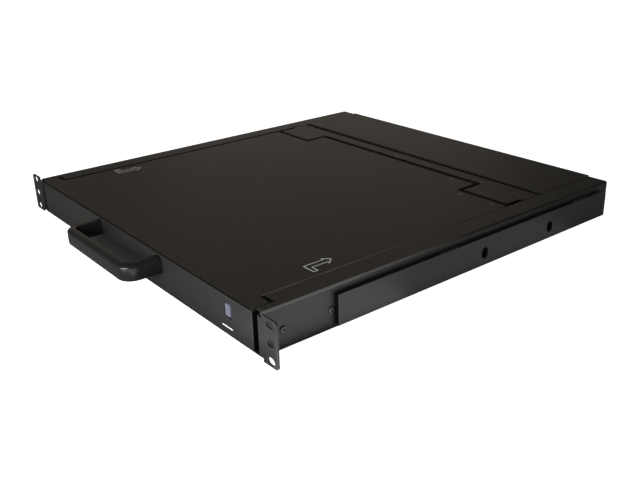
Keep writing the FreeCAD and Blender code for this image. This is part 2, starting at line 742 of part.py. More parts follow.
def rear_cover_screws():
    z = cover_top - COVER_SCREW_DROP
    screws = []
    for x in cover_screw_x:
        seat = (x, CHASSIS_DEPTH + SHEET, z)
        tip = (x, CHASSIS_DEPTH, z)
        screws.append(screw(SMALL_SCREW_HEAD, COVER_SCREW_HEAD_HEIGHT, SMALL_SCREW_SHANK, seat, tip))
    return screws


def controller_board():
    """Circuit board with its larger chips."""
    pieces = [block(around(0, BOARD_WIDTH), (board_front, board_rear), (board_base, board_top))]
    for left_share, front_share, size_share, height in BOARD_CHIPS:
        left = (left_share - 0.5) * BOARD_WIDTH
        front = board_front + front_share * BOARD_DEPTH
        size = size_share * BOARD_DEPTH
        top_z = board_top + height * BOARD_THICKNESS
        pieces.append(block((left, left + size), (front, front + size), (board_top, top_z)))
    return joined(pieces)


def dc_inlet():
    """Round low-voltage inlet on the board: body, nose and centre pin."""
    def along(radius, start, end, sides=ROUND_SIDES):
        return faceted_rod(radius, (dc_inlet_x, start, connector_z), (dc_inlet_x, end, connector_z), sides)

    back = connector_back
    body_z = (board_top, connector_z + DC_BODY_RISE)
    body = block(around(dc_inlet_x, DC_BODY_WIDTH), (back - DC_BODY_DEPTH, back), body_z)
    nose = along(DC_NOSE_RADIUS, back, back + DC_NOSE_LENGTH)
    bore = along(DC_BORE_RADIUS, back - DC_BORE_DEPTH, back + DC_NOSE_LENGTH + OVERCUT)
    pin = along(DC_PIN_RADIUS, back - DC_BORE_DEPTH - OVERCUT, back + DC_PIN_REACH, 6)
    return joined([joined([body, nose]).cut(bore), pin])


def usb_connector():
    """Square device socket with its bevelled top corners and inner tongue."""
    back = CHASSIS_DEPTH + USB_PROUD
    shell = block(around(usb_x, USB_WIDTH), (back - USB_DEPTH, back), (board_top, connector_z + USB_RISE))
    mouth_y = (back - USB_MOUTH_DEPTH, back + OVERCUT)
    mouth = block(around(usb_x, USB_MOUTH_WIDTH), mouth_y, around(connector_z, USB_MOUTH_HEIGHT))
    mouth = bevelled(mouth, USB_MOUTH_CORNER, Y_AXIS, lambda middle: middle.z > connector_z)
    tongue_y = (mouth_y[0] - OVERCUT, back - USB_TONGUE_INSET)
    tongue = block(around(usb_x, USB_TONGUE_WIDTH), tongue_y, around(connector_z, USB_TONGUE_HEIGHT))
    return joined([shell.cut(mouth), tongue])


def video_connector():
    """Fifteen-way D connector: body and tapered nose with three rows of sockets."""
    back = connector_back
    body_z = (board_top, connector_z + VIDEO_RISE)
    body = block(around(video_x, VIDEO_WIDTH), (back - VIDEO_DEPTH, back), body_z)
    low, high = around(connector_z, VIDEO_NOSE_HEIGHT)
    wide = around(video_x, VIDEO_NOSE_TOP)
    narrow = around(video_x, VIDEO_NOSE_BOTTOM)
    outline = [(wide[0], high), (wide[1], high), (narrow[1], low), (narrow[0], low)]
    end = back + VIDEO_NOSE_LENGTH
    nose = bevelled(front_profile(outline, (back, end)), VIDEO_NOSE_CORNER, Y_AXIS)
    sockets = []
    for row, shift in ((-1, -0.5), (0, 0.5), (1, -0.5)):
        for column in range(SOCKET_COLUMNS):
            x = video_x + (column - (SOCKET_COLUMNS - 1) / 2) * SOCKET_PITCH + shift * SOCKET_STAGGER
            z = connector_z + row * SOCKET_ROW_PITCH
            y = (end - SOCKET_DEPTH, end + OVERCUT)
            sockets.append(block(around(x, SOCKET_SIZE), y, around(z, SOCKET_SIZE)))
    return cut_away(joined([body, nose]), sockets)


# ---------------------------------------------------------------- ball slides
def channel_member(inner_u, outer_u, half_height, y, web_at_inner):
    """C-section slide member. u runs from the ear's leg towards the tray."""
    x = (ear_inner - outer_u, ear_inner - inner_u)
    body = block(x, y, around(slide_z, 2 * half_height))
    body = bevelled(body, SLIDE_GAUGE * 0.6, Y_AXIS)
    if web_at_inner:
        hollow_x = (x[0] - OVERCUT, x[1] - SLIDE_GAUGE)
    else:
        hollow_x = (x[0] + SLIDE_GAUGE, x[1] + OVERCUT)
    return body.cut(block(hollow_x, through(*y), around(slide_z, 2 * (half_height - SLIDE_GAUGE))))


def slide_outer():
    member = channel_member(0, outer_depth, outer_half, (SLIDE_FRONT, SLIDE_FRONT + outer_length), True)
    return cut_away(member, side_holes(through(ear_inner - SLIDE_GAUGE, ear_inner), side_screw_places))


def slide_middle():
    y = (moving_front, moving_front + middle_length)
    member = channel_member(middle_start, middle_depth, middle_half, y, True)
    start = moving_front + SLIDE_SLOT_START
    slot_x = through(ear_inner - middle_start - SLIDE_GAUGE, ear_inner - middle_start)
    slot = block(slot_x, (start, start + SLIDE_SLOT_LENGTH), around(slide_z, SLIDE_SLOT_HEIGHT))
    return member.cut(bevelled(slot, SLIDE_SLOT_CORNER, X_AXIS))


def slide_inner():
    y = (moving_front, moving_front + inner_length)
    return channel_member(inner_start, SLIDE_THICKNESS, inner_half, y, False)


def ball(centre):
    """A faceted ball: a short hexagonal rod with bevelled ends."""
    reach = X_AXIS * (BALL_DIAMETER / 2)
    corner = reach.Length / math.cos(math.pi / BALL_SIDES)
    body = faceted_rod(corner, tuple(centre.sub(reach)), tuple(centre.add(reach)), BALL_SIDES)
    rims = [edge for edge in body.Edges if edge.BoundBox.XLength < 1e-6]
    return body.makeChamfer(BALL_BEVEL, rims)


def ball_cages(half, u, start):
    """Retainers above and below the members of both slides, with balls standing through them."""
    x = ear_inner - u
    race = half + race_space / 2
    length = (BALLS_PER_RACE - 1) * BALL_SPACING + 2 * CAGE_MARGIN
    cages = []
    for z in (slide_z - race, slide_z + race):
        pieces = [block(around(x, CAGE_WIDTH), (start, start + length), around(z, CAGE_GAUGE))]
        for count in range(BALLS_PER_RACE):
            pieces.append(ball(Vector(x, start + CAGE_MARGIN + count * BALL_SPACING, z)))
        cages.append(joined(pieces))
    return both_sides(cages)


# ---------------------------------------------------------------- drawer
def button_opening(y):
    x = widened(around(button_x, BUTTON_WIDTH), BUTTON_PLAY)
    return bevelled(block(x, y, widened((button_low, button_high), BUTTON_PLAY)), BUTTON_CORNER, Y_AXIS)


def handle_holes(y):
    places = (-handle_screw_x, handle_screw_x)
    return [faceted_rod(SCREW_HOLE, (x, y[0], handle_screw_z), (x, y[1], handle_screw_z)) for x in places]


def tray_pan():
    """Floor, sides, front and rear walls of the sliding tray, folded from one sheet."""
    x = (-tray_side, tray_side)
    y = (bezel_back, tray_rear)
    above = tray_top + BEND
    outer = rounded(block(x, y, (tray_bottom, above)), BEND, Y_AXIS, lambda middle: middle.z < 0)
    inner = block(widened(x, -SHEET), widened(y, -SHEET), (tray_floor, above + OVERCUT))
    inner = rounded(inner, BEND - SHEET, Y_AXIS, lambda middle: middle.z < 0)
    front_wall = through(y[0], y[0] + SHEET)
    bolt_y = widened((BOLT_FRONT, BOLT_REAR), BOLT_WAY_PLAY)
    bolt_z = widened((bolt_bottom, bolt_top), BOLT_WAY_PLAY)
    bolt_way = block(through(tray_side - SHEET, tray_side), bolt_y, bolt_z)
    cable_z = (tray_floor + CABLE_WAY_LIFT, tray_floor + CABLE_WAY_LIFT + CABLE_WAY_HEIGHT)
    cuts = [
        inner,
        block(through(*x), through(*y), (tray_top, above + OVERCUT)),
        block(around(button_x, BUTTON_WAY_WIDTH), front_wall, (bolt_bottom - LATCH_GAP, above)),
        bolt_way,
        mirrored(bolt_way),
        block(around(0, CABLE_WAY_WIDTH), through(y[1] - SHEET, y[1]), cable_z),
    ]
    return cut_away(outer, cuts + handle_holes(front_wall))


def front_bezel():
    """Front panel with a deep top lip over the latch compartment and shallow side returns."""
    x = (-bezel_side, bezel_side)
    z = (bezel_bottom, bezel_top)
    deep = bezel_face + LATCH_BAY
    panel = block(x, (bezel_face, deep), z)
    panel = rounded(panel, BEZEL_FOLD, X_AXIS, lambda middle: middle.y < bezel_back)
    panel = bevelled(panel, BEZEL_CORNER, Z_AXIS, lambda middle: middle.y < bezel_back)
    hollow_y = (bezel_back, deep + OVERCUT)
    hollow = block(widened(x, -BEZEL_THICKNESS), hollow_y, (z[0] - OVERCUT, z[1] - BEZEL_THICKNESS))
    beside_x = (tray_side, bezel_side + OVERCUT)
    beside = block(beside_x, (bezel_back + BEZEL_SIDE_RETURN, deep + OVERCUT), through(*z))
    wall = through(bezel_face, bezel_back)
    return cut_away(panel, [hollow, beside, mirrored(beside), button_opening(wall)] + handle_holes(wall))


def is_outer_rim(edge, height):
    """True for edges of the handle's outer outline at one height, without the edge at the bezel."""
    box = edge.BoundBox
    flat = abs(box.ZMin - height) < 1e-6 and abs(box.ZMax - height) < 1e-6
    at_bezel = box.YMin > bezel_face - 1e-6
    beside = max(abs(box.XMin), abs(box.XMax)) > HANDLE_WIDTH / 2 - HANDLE_LEG / 2
    in_front = box.YMin < bezel_face - HANDLE_REACH + HANDLE_BAR / 2
    return flat and (beside or in_front) and not at_bezel


def drawer_handle():
    """Bail handle: two legs and a front bar in one moulding, bevelled round its top outer edge."""
    half = HANDLE_WIDTH / 2
    front = bezel_face - HANDLE_REACH
    z = (HANDLE_BOTTOM, HANDLE_BOTTOM + HANDLE_HEIGHT)
    outer = block((-half, half), (front, bezel_face), z)
    outer = rounded(outer, HANDLE_CORNER, Z_AXIS, lambda middle: middle.y < front + HANDLE_BAR / 2)
    outer = outer.makeChamfer(HANDLE_BEVEL, [edge for edge in outer.Edges if is_outer_rim(edge, z[1])])
    gap_front = front + HANDLE_BAR
    gap_half = half - HANDLE_LEG
    gap = block((-gap_half, gap_half), (gap_front, bezel_face + OVERCUT), through(*z))
    gap = rounded(gap, HANDLE_CORNER - HANDLE_BAR, Z_AXIS, lambda middle: middle.y < gap_front + OVERCUT)
    bail = outer.cut(gap)
    bail = bail.makeChamfer(HANDLE_SOFT, [edge for edge in bail.Edges if is_outer_rim(edge, z[0])])
    hole_end = bezel_face - HANDLE_SCREW_REACH - HANDLE_SCREW_PLAY
    return cut_away(bail, handle_holes((hole_end, bezel_face + OVERCUT)))


def handle_screws():
    screws = []
    for x in (-handle_screw_x, handle_screw_x):
        seat = (x, bezel_back + SHEET, handle_screw_z)
        tip = (x, bezel_face - HANDLE_SCREW_REACH, handle_screw_z)
        screws.append(screw(SIDE_SCREW_HEAD, HANDLE_SCREW_HEAD_HEIGHT, SCREW_SHANK, seat, tip))
    return screws


def lid_bumpers():
    """Thin pads on the bezel's top lip, under the lid's tongue."""
    right = bezel_side - BUMPER_INSET
    front = bezel_face + BUMPER_SETBACK
    z = (bezel_top, under_top - BUMPER_PLAY)
    pad = block((right - BUMPER_WIDTH, right), (front, front + BUMPER_DEPTH), z)
    return both_sides([pad])


# ---------------------------------------------------------------- latch
def latch_cover():
    """Upright plate that closes the latch compartment behind the bezel."""
    rear = bezel_face + LATCH_BAY
    z = (deck_under - LATCH_COVER_DROP, bezel_top - BEZEL_THICKNESS)
    return block((-deck_side, deck_side), (rear - SHEET, rear), z)


def release_button():
    """Push button with a rear flange and a wedge-shaped tail that works the bolt."""
    x = around(button_x, BUTTON_WIDTH)
    z = (button_low, button_high)
    seat = bezel_back + BUTTON_SEAT
    cap = block(x, (bezel_face + BUTTON_RECESS, seat), z)
    cap = bevelled(cap, BUTTON_CORNER, Y_AXIS)
    flange = block(widened(x, BUTTON_FLANGE), (seat, seat + BUTTON_FLANGE), widened(z, BUTTON_FLANGE))
    tail = [(ramp + TAIL_FRONT, seat), (ramp + TAIL_FRONT, TAIL_FRONT), (ramp + TAIL_REAR, TAIL_REAR)]
    tail += [(x[1], TAIL_REAR), (x[1], seat)]
    return joined([cap, flange, slab(tail, (bolt_bottom + LATCH_GAP, button_low + BUTTON_FLANGE))])


def latch_bolt():
    """Sliding bolt: a hooked inner end round the button's tail, and a bar to the right ear."""
    gap = LATCH_GAP * math.sqrt(2)
    right = button_x + BUTTON_WIDTH / 2 + BUTTON_TRAVEL + LATCH_GAP
    left = button_x - BOLT_HOOK
    rail = TAIL_REAR + BUTTON_TRAVEL + LATCH_GAP
    outline = [
        (right, BOLT_FRONT), (bolt_tip - BOLT_NOSE, BOLT_FRONT), (bolt_tip, BOLT_FRONT + BOLT_NOSE),
        (bolt_tip, BOLT_REAR), (right + BOLT_SHOULDER, BOLT_REAR), (right + BOLT_SHOULDER, bolt_back),
        (left, bolt_back), (left, BOLT_FRONT), (ramp - gap + BOLT_FRONT, BOLT_FRONT),
        (ramp - gap + rail, rail), (right, rail),
    ]
    return slab(outline, (bolt_bottom, bolt_top))


def latch_guide():
    """Shelf under the bolt, with an end tab for the spring."""
    x = (spring_left - BOLT_TONGUE, tray_side - SHEET - GUIDE_END_GAP)
    front = bezel_back + SHEET
    high = bolt_bottom - LATCH_GAP
    shelf = block(x, (front, bolt_back), (high - GUIDE_SHELF, high))
    leg = block(x, (front, front + SHEET), (tray_floor, high))
    tab = block((x[0], spring_left), (BOLT_FRONT, bolt_back), (high, bolt_top))
    return joined([shelf, leg, tab])


def latch_spring():
    """Serpentine flat spring between the guide's tab and the bolt."""
    pitch = (SPRING_LENGTH - LEAF) / LEAF_FOLDS
    y = around((BOLT_FRONT + BOLT_REAR) / 2, 2 * LEAF_REACH)
    z = widened((bolt_bottom, bolt_top), -LATCH_GAP)
    pieces = []
    for count in range(LEAF_FOLDS + 1):
        x = spring_left + count * pitch
        pieces.append(block((x, x + LEAF), y, z))
        bridge_y = (y[1] - LEAF, y[1]) if count % 2 else (y[0], y[0] + LEAF)
        if count < LEAF_FOLDS:
            pieces.append(block((x, x + pitch), bridge_y, z))
    return joined(pieces)


# ---------------------------------------------------------------- keyboard
# Rows from the front, each with its key widths in key units
MAIN_ROWS = (
    ("space", (1.25, 1.25, 1.25, 5.25, 1, 1, 1, 1, 1, 1)),
    ("lower", (2.25, 1, 1, 1, 1, 1, 1, 1, 1, 1, 1, 1.75, 1)),
    ("home", (1.75, 1, 1, 1, 1, 1, 1, 1, 1, 1, 1, 1, 2.25)),
    ("upper", (1.5, 1, 1, 1, 1, 1, 1, 1, 1, 1, 1, 1, 1, 1.5)),
    ("number", (1, 1, 1, 1, 1, 1, 1, 1, 1, 1, 1, 1, 1, 2)),
)
MAIN_UNITS = 15
NUMPAD_UNITS = 4
# Numeric pad keys: column, row, width and depth in key units
NUMPAD_KEYS = (
    (0, 0, 2, 1), (2, 0, 1, 1), (3, 0, 1, 2),
    (0, 1, 1, 1), (1, 1, 1, 1), (2, 1, 1, 1),
    (0, 2, 1, 1), (1, 2, 1, 1), (2, 2, 1, 1), (3, 2, 1, 2),
    (0, 3, 1, 1), (1, 3, 1, 1), (2, 3, 1, 1),
    (0, 4, 1, 1), (1, 4, 1, 1), (2, 4, 1, 1), (3, 4, 1, 1),
)

keyboard_half = ((MAIN_UNITS + NUMPAD_UNITS) * KEY_PITCH + NUMPAD_GAP) / 2
main_left = -keyboard_half
main_right = main_left + MAIN_UNITS * KEY_PITCH
numpad_left = main_right + NUMPAD_GAP
numpad_right = keyboard_half
function_rear = deck_rear - KEYBOARD_REAR_MARGIN
function_front = function_rear - FUNCTION_KEY_DEPTH
rows_rear = function_front - FUNCTION_GAP
keyboard_front = rows_rear - len(MAIN_ROWS) * KEY_PITCH
plate_top = tray_floor + KEY_PLATE_LIFT
stem_bottom = plate_top - STEM_ENGAGEMENT
skirt_bottom = deck_top - KEY_SKIRT

pad_block = PAD_BUTTON_DEPTH + PAD_BUTTON_GAP + TOUCHPAD_DEPTH
pad_button_front = DECK_FRONT + (keyboard_front - DECK_FRONT - pad_block) / 2
pad_button_rear = pad_button_front + PAD_BUTTON_DEPTH
pad_front = pad_button_rear + PAD_BUTTON_GAP
pad_rear = pad_front + TOUCHPAD_DEPTH
pad_half = TOUCHPAD_WIDTH / 2
lens_y = function_rear + LENS_BEHIND_KEYS
lens_places = (-LENS_SPACING, 0.0, LENS_SPACING)


def key_places():
    """Every key as its row name and its cell: left, front, width and depth."""
    places = []
    for row, (name, widths) in enumerate(MAIN_ROWS):
        left = main_left
        for width in widths:
            places.append((name, left, keyboard_front + row * KEY_PITCH, width * KEY_PITCH, KEY_PITCH))
            left += width * KEY_PITCH
    for start, count in ((main_left, MAIN_UNITS), (numpad_left, NUMPAD_UNITS)):
        for column in range(count):
            left = start + column * KEY_PITCH
            places.append(("function", left, function_front, KEY_PITCH, FUNCTION_KEY_DEPTH))
    for column, row, width, depth in NUMPAD_KEYS:
        left = numpad_left + column * KEY_PITCH
        front = keyboard_front + row * KEY_PITCH
        places.append(("numpad", left, front, width * KEY_PITCH, depth * KEY_PITCH))
    return places


def tapered(x, y, z, side, front, rear):
    """A block that narrows towards its top by the given amounts."""
    body = Part.makeWedge(
        x[0], z[0], -y[1], rear - y[1], x[0] + side,
        x[1], z[1], -y[0], -y[0] - front, x[1] - side,
    )
    body.rotate(Vector(0, 0, 0), X_AXIS, 90)
    return body


def stem_cell(left, front, width, depth, play):
    """Plan of a key's stem, or of its guide when there is play."""
    x = around(left + width / 2, STEM_WIDTH)
    y = around(front + depth / 2, STEM_DEPTH)
    return widened(x, play), widened(y, play)


def keycap(left, front, width, depth):
    """Tapered cap on a rectangular stem that runs in the key plate."""
    x = widened((left, left + width), -KEY_GAP / 2)
    y = widened((front, front + depth), -KEY_GAP / 2)
    cap = tapered(x, y, (skirt_bottom, deck_top + KEY_HEIGHT), KEY_TAPER, KEY_FRONT_TAPER, KEY_TAPER)
    stem_x, stem_y = stem_cell(left, front, width, depth, 0)
    return joined([cap, block(stem_x, stem_y, (stem_bottom, skirt_bottom))])


def key_rows():
    rows = {}
    for name, left, front, width, depth in key_places():
        rows.setdefault(name, []).append(keycap(left, front, width, depth))
    return rows


def keyboard_plate():
    """Key plate on two folded feet, with a guide slot for each row of key stems."""
    x = widened((main_left, numpad_right), KEY_PLATE_MARGIN)
    y = widened((keyboard_front, function_rear), KEY_PLATE_MARGIN)
    plate = block(x, y, (tray_floor, plate_top))
    under_z = (tray_floor - OVERCUT, plate_top - KEY_PLATE_SHEET)
    under = block(through(*x), widened(y, -KEY_PLATE_SHEET), under_z)
    guides = {}
    for name, left, front, width, depth in key_places():
        hole_x, hole_y = stem_cell(left, front, width, depth, STEM_PLAY)
        start, end = guides.get(hole_y, hole_x)
        guides[hole_y] = (min(start, hole_x[0]), max(end, hole_x[1]))
    z = through(plate_top - KEY_PLATE_SHEET, plate_top)
    slots = [block(slot_x, slot_y, z) for slot_y, slot_x in guides.items()]
    return cut_away(plate, [under] + slots)


def deck_windows():
    """Openings in the deck for the key blocks, the touchpad, its buttons and the lenses."""
    z = through(deck_under, deck_top)
    windows = []
    for x in ((main_left, main_right), (numpad_left, numpad_right)):
        for y in ((keyboard_front, rows_rear), (function_front, function_rear)):
            windows.append(block(widened(x, KEY_GAP), widened(y, KEY_GAP), z))
    windows.append(block((-pad_half, pad_half), (pad_front, pad_rear), z))
    button_x_span = widened((PAD_BUTTON_SPLIT, pad_half), PAD_BUTTON_PLAY)
    button = block(button_x_span, widened((pad_button_front, pad_button_rear), PAD_BUTTON_PLAY), z)
    for x in lens_places:
        windows.append(faceted_rod(LENS_RADIUS + LENS_PLAY, (x, lens_y, z[0]), (x, lens_y, z[1])))
    return windows + both_sides([button])


def keyboard_deck():
    """Palm rest and key surround: a moulded cover standing on its own skirts in the tray."""
    x = (-deck_side, deck_side)
    y = (DECK_FRONT, deck_rear)
    shell = rounded(block(x, y, (tray_floor, deck_top)), DECK_CORNER, Z_AXIS)
    rim = [edge for edge in shell.Edges if edge.BoundBox.ZMin > deck_top - 1e-6]
    shell = shell.makeChamfer(DECK_BEVEL, rim)
    inside = block(widened(x, -DECK_SHEET), widened(y, -DECK_SHEET), (tray_floor - OVERCUT, deck_under))
    return cut_away(shell, [inside] + deck_windows())


def touchpad():
    """Touch surface on its carrier, standing on the tray floor."""
    top_x = widened((-pad_half, pad_half), -TOUCHPAD_PLAY)
    top_y = widened((pad_front, pad_rear), -TOUCHPAD_PLAY)
    plate = block(top_x, top_y, (deck_under, deck_top - TOUCHPAD_RECESS))
    foot_x = widened((-pad_half, pad_half), -PAD_FOOT_INSET)
    foot_top = deck_under - PAD_FOOT_DROP
    foot_rear = pad_rear - PAD_FOOT_INSET
    foot = block(foot_x, (pad_button_front + PAD_BUTTON_GAP, foot_rear), (tray_floor, foot_top))
    neck = block(foot_x, (pad_front + PAD_FOOT_INSET, foot_rear), (foot_top, deck_under))
    return joined([plate, foot, neck])


def pad_button():
    """Right touchpad button."""
    z = (deck_under - PAD_BUTTON_SKIRT, deck_top + PAD_BUTTON_RISE)
    cap = block((PAD_BUTTON_SPLIT, pad_half), (pad_button_front, pad_button_rear), z)
    return bevelled(cap, PAD_BUTTON_RISE, X_AXIS, lambda middle: middle.z > deck_top)


def indicator_lenses():
    z = (deck_under - LENS_SKIRT, deck_top + LENS_RISE)
    return [faceted_rod(LENS_RADIUS, (x, lens_y, z[0]), (x, lens_y, z[1])) for x in lens_places]


# ---------------------------------------------------------------- hinges and hinge cover
def strip_screw_places():
    y = (strip_front + strip_rear) / 2 - STRIP_SCREW_SETBACK
    corner_x = lid_centre + STRIP_SCREW_SIDE
    return ((0.0, y), (corner_x, y), (-corner_x, y))


def hinge_cover():
    """Fixed top strip behind the lid, with wide ends that cover the hinges."""
    inner = lid_centre + CORNER_SEAM
    outline = [
        (-lid_side, corner_front), (-inner, corner_front), (-inner, strip_front),
        (inner, strip_front), (inner, corner_front), (lid_side, corner_front),
        (lid_side, strip_rear), (-lid_side, strip_rear),
    ]
    plate = slab(outline, (under_top, top))
    slot_x = (arm_inner - HINGE_SLOT_PLAY, lid_side + OVERCUT)
    slot = block(slot_x, (corner_front - OVERCUT, hinge_y + HINGE_SLOT_REAR), through(under_top, top))
    flange = block((-lid_side, lid_side), (tray_rear, strip_rear), (tray_top - STRIP_FLANGE, under_top))
    cover = joined([cut_away(plate, [slot, mirrored(slot)]), flange])
    fold = SHEET * 0.9
    cover = rounded(cover, fold, X_AXIS, lambda at: at.y > strip_rear - fold and at.z > top - fold)
    places = strip_screw_places()
    posts = [faceted_rod(STRIP_POST_RADIUS, (x, y, tray_floor), (x, y, under_top)) for x, y in places]
    holes = small_holes(places, (under_top - SMALL_SCREW_LENGTH - OVERCUT, top + OVERCUT))
    return cut_away(joined([cover] + posts), holes)


def hinge_bracket():
    """Right bracket: foot on the tray floor, upright, and the friction barrel round the pin."""
    upright_x = (barrel_inner + HINGE_UPRIGHT_INSET, barrel_inner + HINGE_UPRIGHT_INSET + HINGE_UPRIGHT)
    y = (hinge_y - HINGE_FOOT_FRONT, hinge_y + HINGE_FOOT_REAR)
    foot_z = (tray_floor, tray_floor + HINGE_FOOT_THICKNESS)
    foot = block((upright_x[1] - HINGE_UPRIGHT - HINGE_FOOT_WIDTH, upright_x[1]), y, foot_z)
    slope = [
        (y[0], tray_floor), (y[1], tray_floor),
        (hinge_y + HINGE_UPRIGHT_TOP, hinge_z), (hinge_y - HINGE_UPRIGHT_TOP, hinge_z),
    ]
    upright = side_profile(slope, upright_x)
    ends = ((barrel_inner, hinge_y, hinge_z), (barrel_outer, hinge_y, hinge_z))
    barrel = faceted_rod(HINGE_BARREL_RADIUS, *ends, ROUND_SIDES)
    bore = rod(HINGE_PIN_RADIUS + HINGE_PIN_PLAY, *ends)
    return joined([foot, upright, barrel]).cut(bore)


def hinge_arm():
    """Right arm: a flat steel arm along the lid's side, with the hinge pin riveted to its eye."""
    x = (arm_inner, arm_outer)
    z = (hinge_z - HINGE_ARM_BELOW, hinge_z + HINGE_ARM_EYE)
    arm = block(x, (lid_corner_rear - HINGE_ARM_REACH, hinge_y), z)
    eye = rod(HINGE_ARM_EYE, (x[0], hinge_y, hinge_z), (x[1], hinge_y, hinge_z))
    pin = rod(HINGE_PIN_RADIUS, (barrel_inner - HINGE_PIN_REACH, hinge_y, hinge_z), (x[1], hinge_y, hinge_z))
    return joined([arm, eye, pin])


# ---------------------------------------------------------------- display
def lid_outline(grow, front):
    """Plan of the display behind its tongue; grow moves the outline outwards."""
    side = lid_side + grow
    centre = lid_centre + grow
    corner = lid_corner_rear - CORNER_STEP + grow
    rear = lid_centre_rear + grow
    return [
        (-side, front), (side, front), (side, corner), (centre, corner),
        (centre, rear), (-centre, rear), (-centre, corner), (-side, corner),
    ]


def lid_screw_places():
    near = lid_corner_rear - LID_SCREW_CORNER_SETBACK
    places = [
        (lid_centre - LID_SCREW_INNER, lid_centre_rear - LID_SCREW_SETBACK),
        (lid_centre + LID_SCREW_MIDDLE, near - LID_SCREW_STAGGER),
        (lid_side - LID_SCREW_OUTER, near + LID_SCREW_STAGGER),
    ]
    return places + [(-x, y) for x, y in places]


def display_back_cover():
    """Lid: flat top with the front tongue, and a folded rim down to the front frame."""
    body = slab(lid_outline(0, DISPLAY_FRONT), (frame_back, top))
    hollow = slab(lid_outline(-SHEET, DISPLAY_FRONT + SHEET), (frame_back - OVERCUT, under_top))
    shell = body.cut(hollow)
    on_side = lid_side - SHEET / 2
    shell = rounded(shell, LID_SOFT, Y_AXIS, lambda middle: abs(middle.x) > on_side and middle.z > under_top)
    tongue = block((-bezel_side, bezel_side), (lid_front, tongue_rear), (under_top, top))
    tongue = bevelled(tongue, TONGUE_CORNER, Z_AXIS, lambda middle: middle.y < DISPLAY_FRONT)
    tongue = bevelled(tongue, TONGUE_SOFT, X_AXIS, lambda at: at.y < DISPLAY_FRONT and at.z > under_top)
    brow_x = (lid_centre - SHEET, lid_side)
    brow = block(brow_x, (lid_corner_rear - CORNER_STEP - SHEET, lid_corner_rear), (under_top, top))
    lid = joined([shell, tongue] + both_sides([brow]))
    corner = through(lid_corner_rear - CORNER_STEP - SHEET, lid_corner_rear)
    arm_z = (frame_back - OVERCUT, hinge_z + HINGE_ARM_EYE + HINGE_ARM_PLAY)
    arm_way = block((arm_inner - HINGE_ARM_PLAY, arm_outer), corner, arm_z)
    return cut_away(lid, small_holes(lid_screw_places(), through(under_top, top)) + both_sides([arm_way]))


def osd_places():
    return [(count - (OSD_COUNT - 1) / 2) * OSD_SPACING for count in range(OSD_COUNT)]


def display_frame():
    """Front frame round the screen, with an inner rim that locates it in the lid."""
    face = slab(lid_outline(0, DISPLAY_FRONT), (display_face, frame_back))
    outer_rim = [edge for edge in face.Edges if edge.BoundBox.ZMax < display_face + 1e-6]
    face = face.makeChamfer(FRAME_BEVEL, outer_rim)
    gap = SHEET + FRAME_RIM_GAP
    rim_top = frame_back + FRAME_RIM_HEIGHT
    rim = slab(lid_outline(-gap, DISPLAY_FRONT + gap), (frame_back, rim_top))
    gap += FRAME_RIM
    rim_inside = slab(lid_outline(-gap, DISPLAY_FRONT + gap), (frame_back, rim_top + OVERCUT))
    frame = joined([face, rim.cut(rim_inside)])
    window_z = through(display_face, rim_top)
    openings = [block((-window_half, window_half), (WINDOW_FRONT, window_rear), window_z)]
    slot_y = widened(around(osd_y, OSD_DEPTH), OSD_PLAY)
    for x in osd_places():
        slot_x = widened(around(x, OSD_WIDTH), OSD_PLAY)
        openings.append(block(slot_x, slot_y, through(display_face, frame_back)))
    return cut_away(frame, openings)


def lcd_panel():
    """Liquid-crystal module behind the window."""
    x = widened((-window_half, window_half), PANEL_BORDER)
    y = widened((WINDOW_FRONT, window_rear), PANEL_BORDER)
    return block(x, y, (frame_back, frame_back + PANEL_THICKNESS))


def display_board():
    """Driver board on the back of the panel, with its chip and lamp socket."""
    base = frame_back + PANEL_THICKNESS
    above = base + BOARD_THICKNESS
    start = WINDOW_FRONT + DRIVER_BOARD_START
    rear = start + DRIVER_BOARD_DEPTH
    chip_y = (start + DRIVER_CHIP_START, start + DRIVER_CHIP_START + DRIVER_CHIP)
    socket_x = (DRIVER_SOCKET_X, DRIVER_SOCKET_X + DRIVER_SOCKET_WIDTH)
    return joined([
        block(around(0, DRIVER_BOARD_WIDTH), (start, rear), (base, above)),
        block(around(0, DRIVER_CHIP), chip_y, (above, above + DRIVER_CHIP_HEIGHT)),
        block(socket_x, (rear - DRIVER_SOCKET_DEPTH, rear), (above, above + DRIVER_SOCKET_HEIGHT)),
    ])


def osd_button(x):
    """Small membrane-switch button of the screen menu, in its own window."""
    seat = frame_back + OSD_PLAY
    cap_x = around(x, OSD_WIDTH)
    cap_y = around(osd_y, OSD_DEPTH)
    cap = block(cap_x, cap_y, (display_face - OSD_PROUD, seat))
    cap = bevelled(cap, OSD_BEVEL, X_AXIS, lambda middle: middle.z < display_face)
    brim = block(widened(cap_x, OSD_BRIM), widened(cap_y, OSD_BRIM), (seat, seat + OSD_BRIM_THICKNESS))
    return joined([cap, brim])


def osd_board():
    """Button board on two ribs behind the frame."""
    base = frame_back + OSD_PLAY + OSD_BRIM_THICKNESS + OSD_TRAVEL + OSD_TRAVEL_GAP
    half = OSD_SPACING * OSD_COUNT / 2 + OSD_BOARD_MARGIN
    y = around(osd_y, 2 * OSD_BOARD_MARGIN)
    board = block((-half, half), y, (base, base + OSD_BOARD_THICKNESS))
    rib = block((half - OSD_RIB, half), y, (frame_back, base))
    return joined([board] + both_sides([rib]))


# ---------------------------------------------------------------- write the parts
os.makedirs("parts", exist_ok=True)

save("chassis_shell", chassis_shell())
save_pair("rack_ear", rack_ear())
save_group("slide_spacers", slide_spacers())
save_pair("side_sleeve", side_sleeve())
save_group("chassis_screws", both_sides([side_screw(y, ear_inner - SLIDE_GAUGE) for y in side_screw_places]))

save("rear_cover", rear_cover())
save_group("rear_cover_screws", rear_cover_screws())
save("controller_board", controller_board())
save("dc_inlet", dc_inlet())
save("usb_connector", usb_connector())
save("video_connector", video_connector())

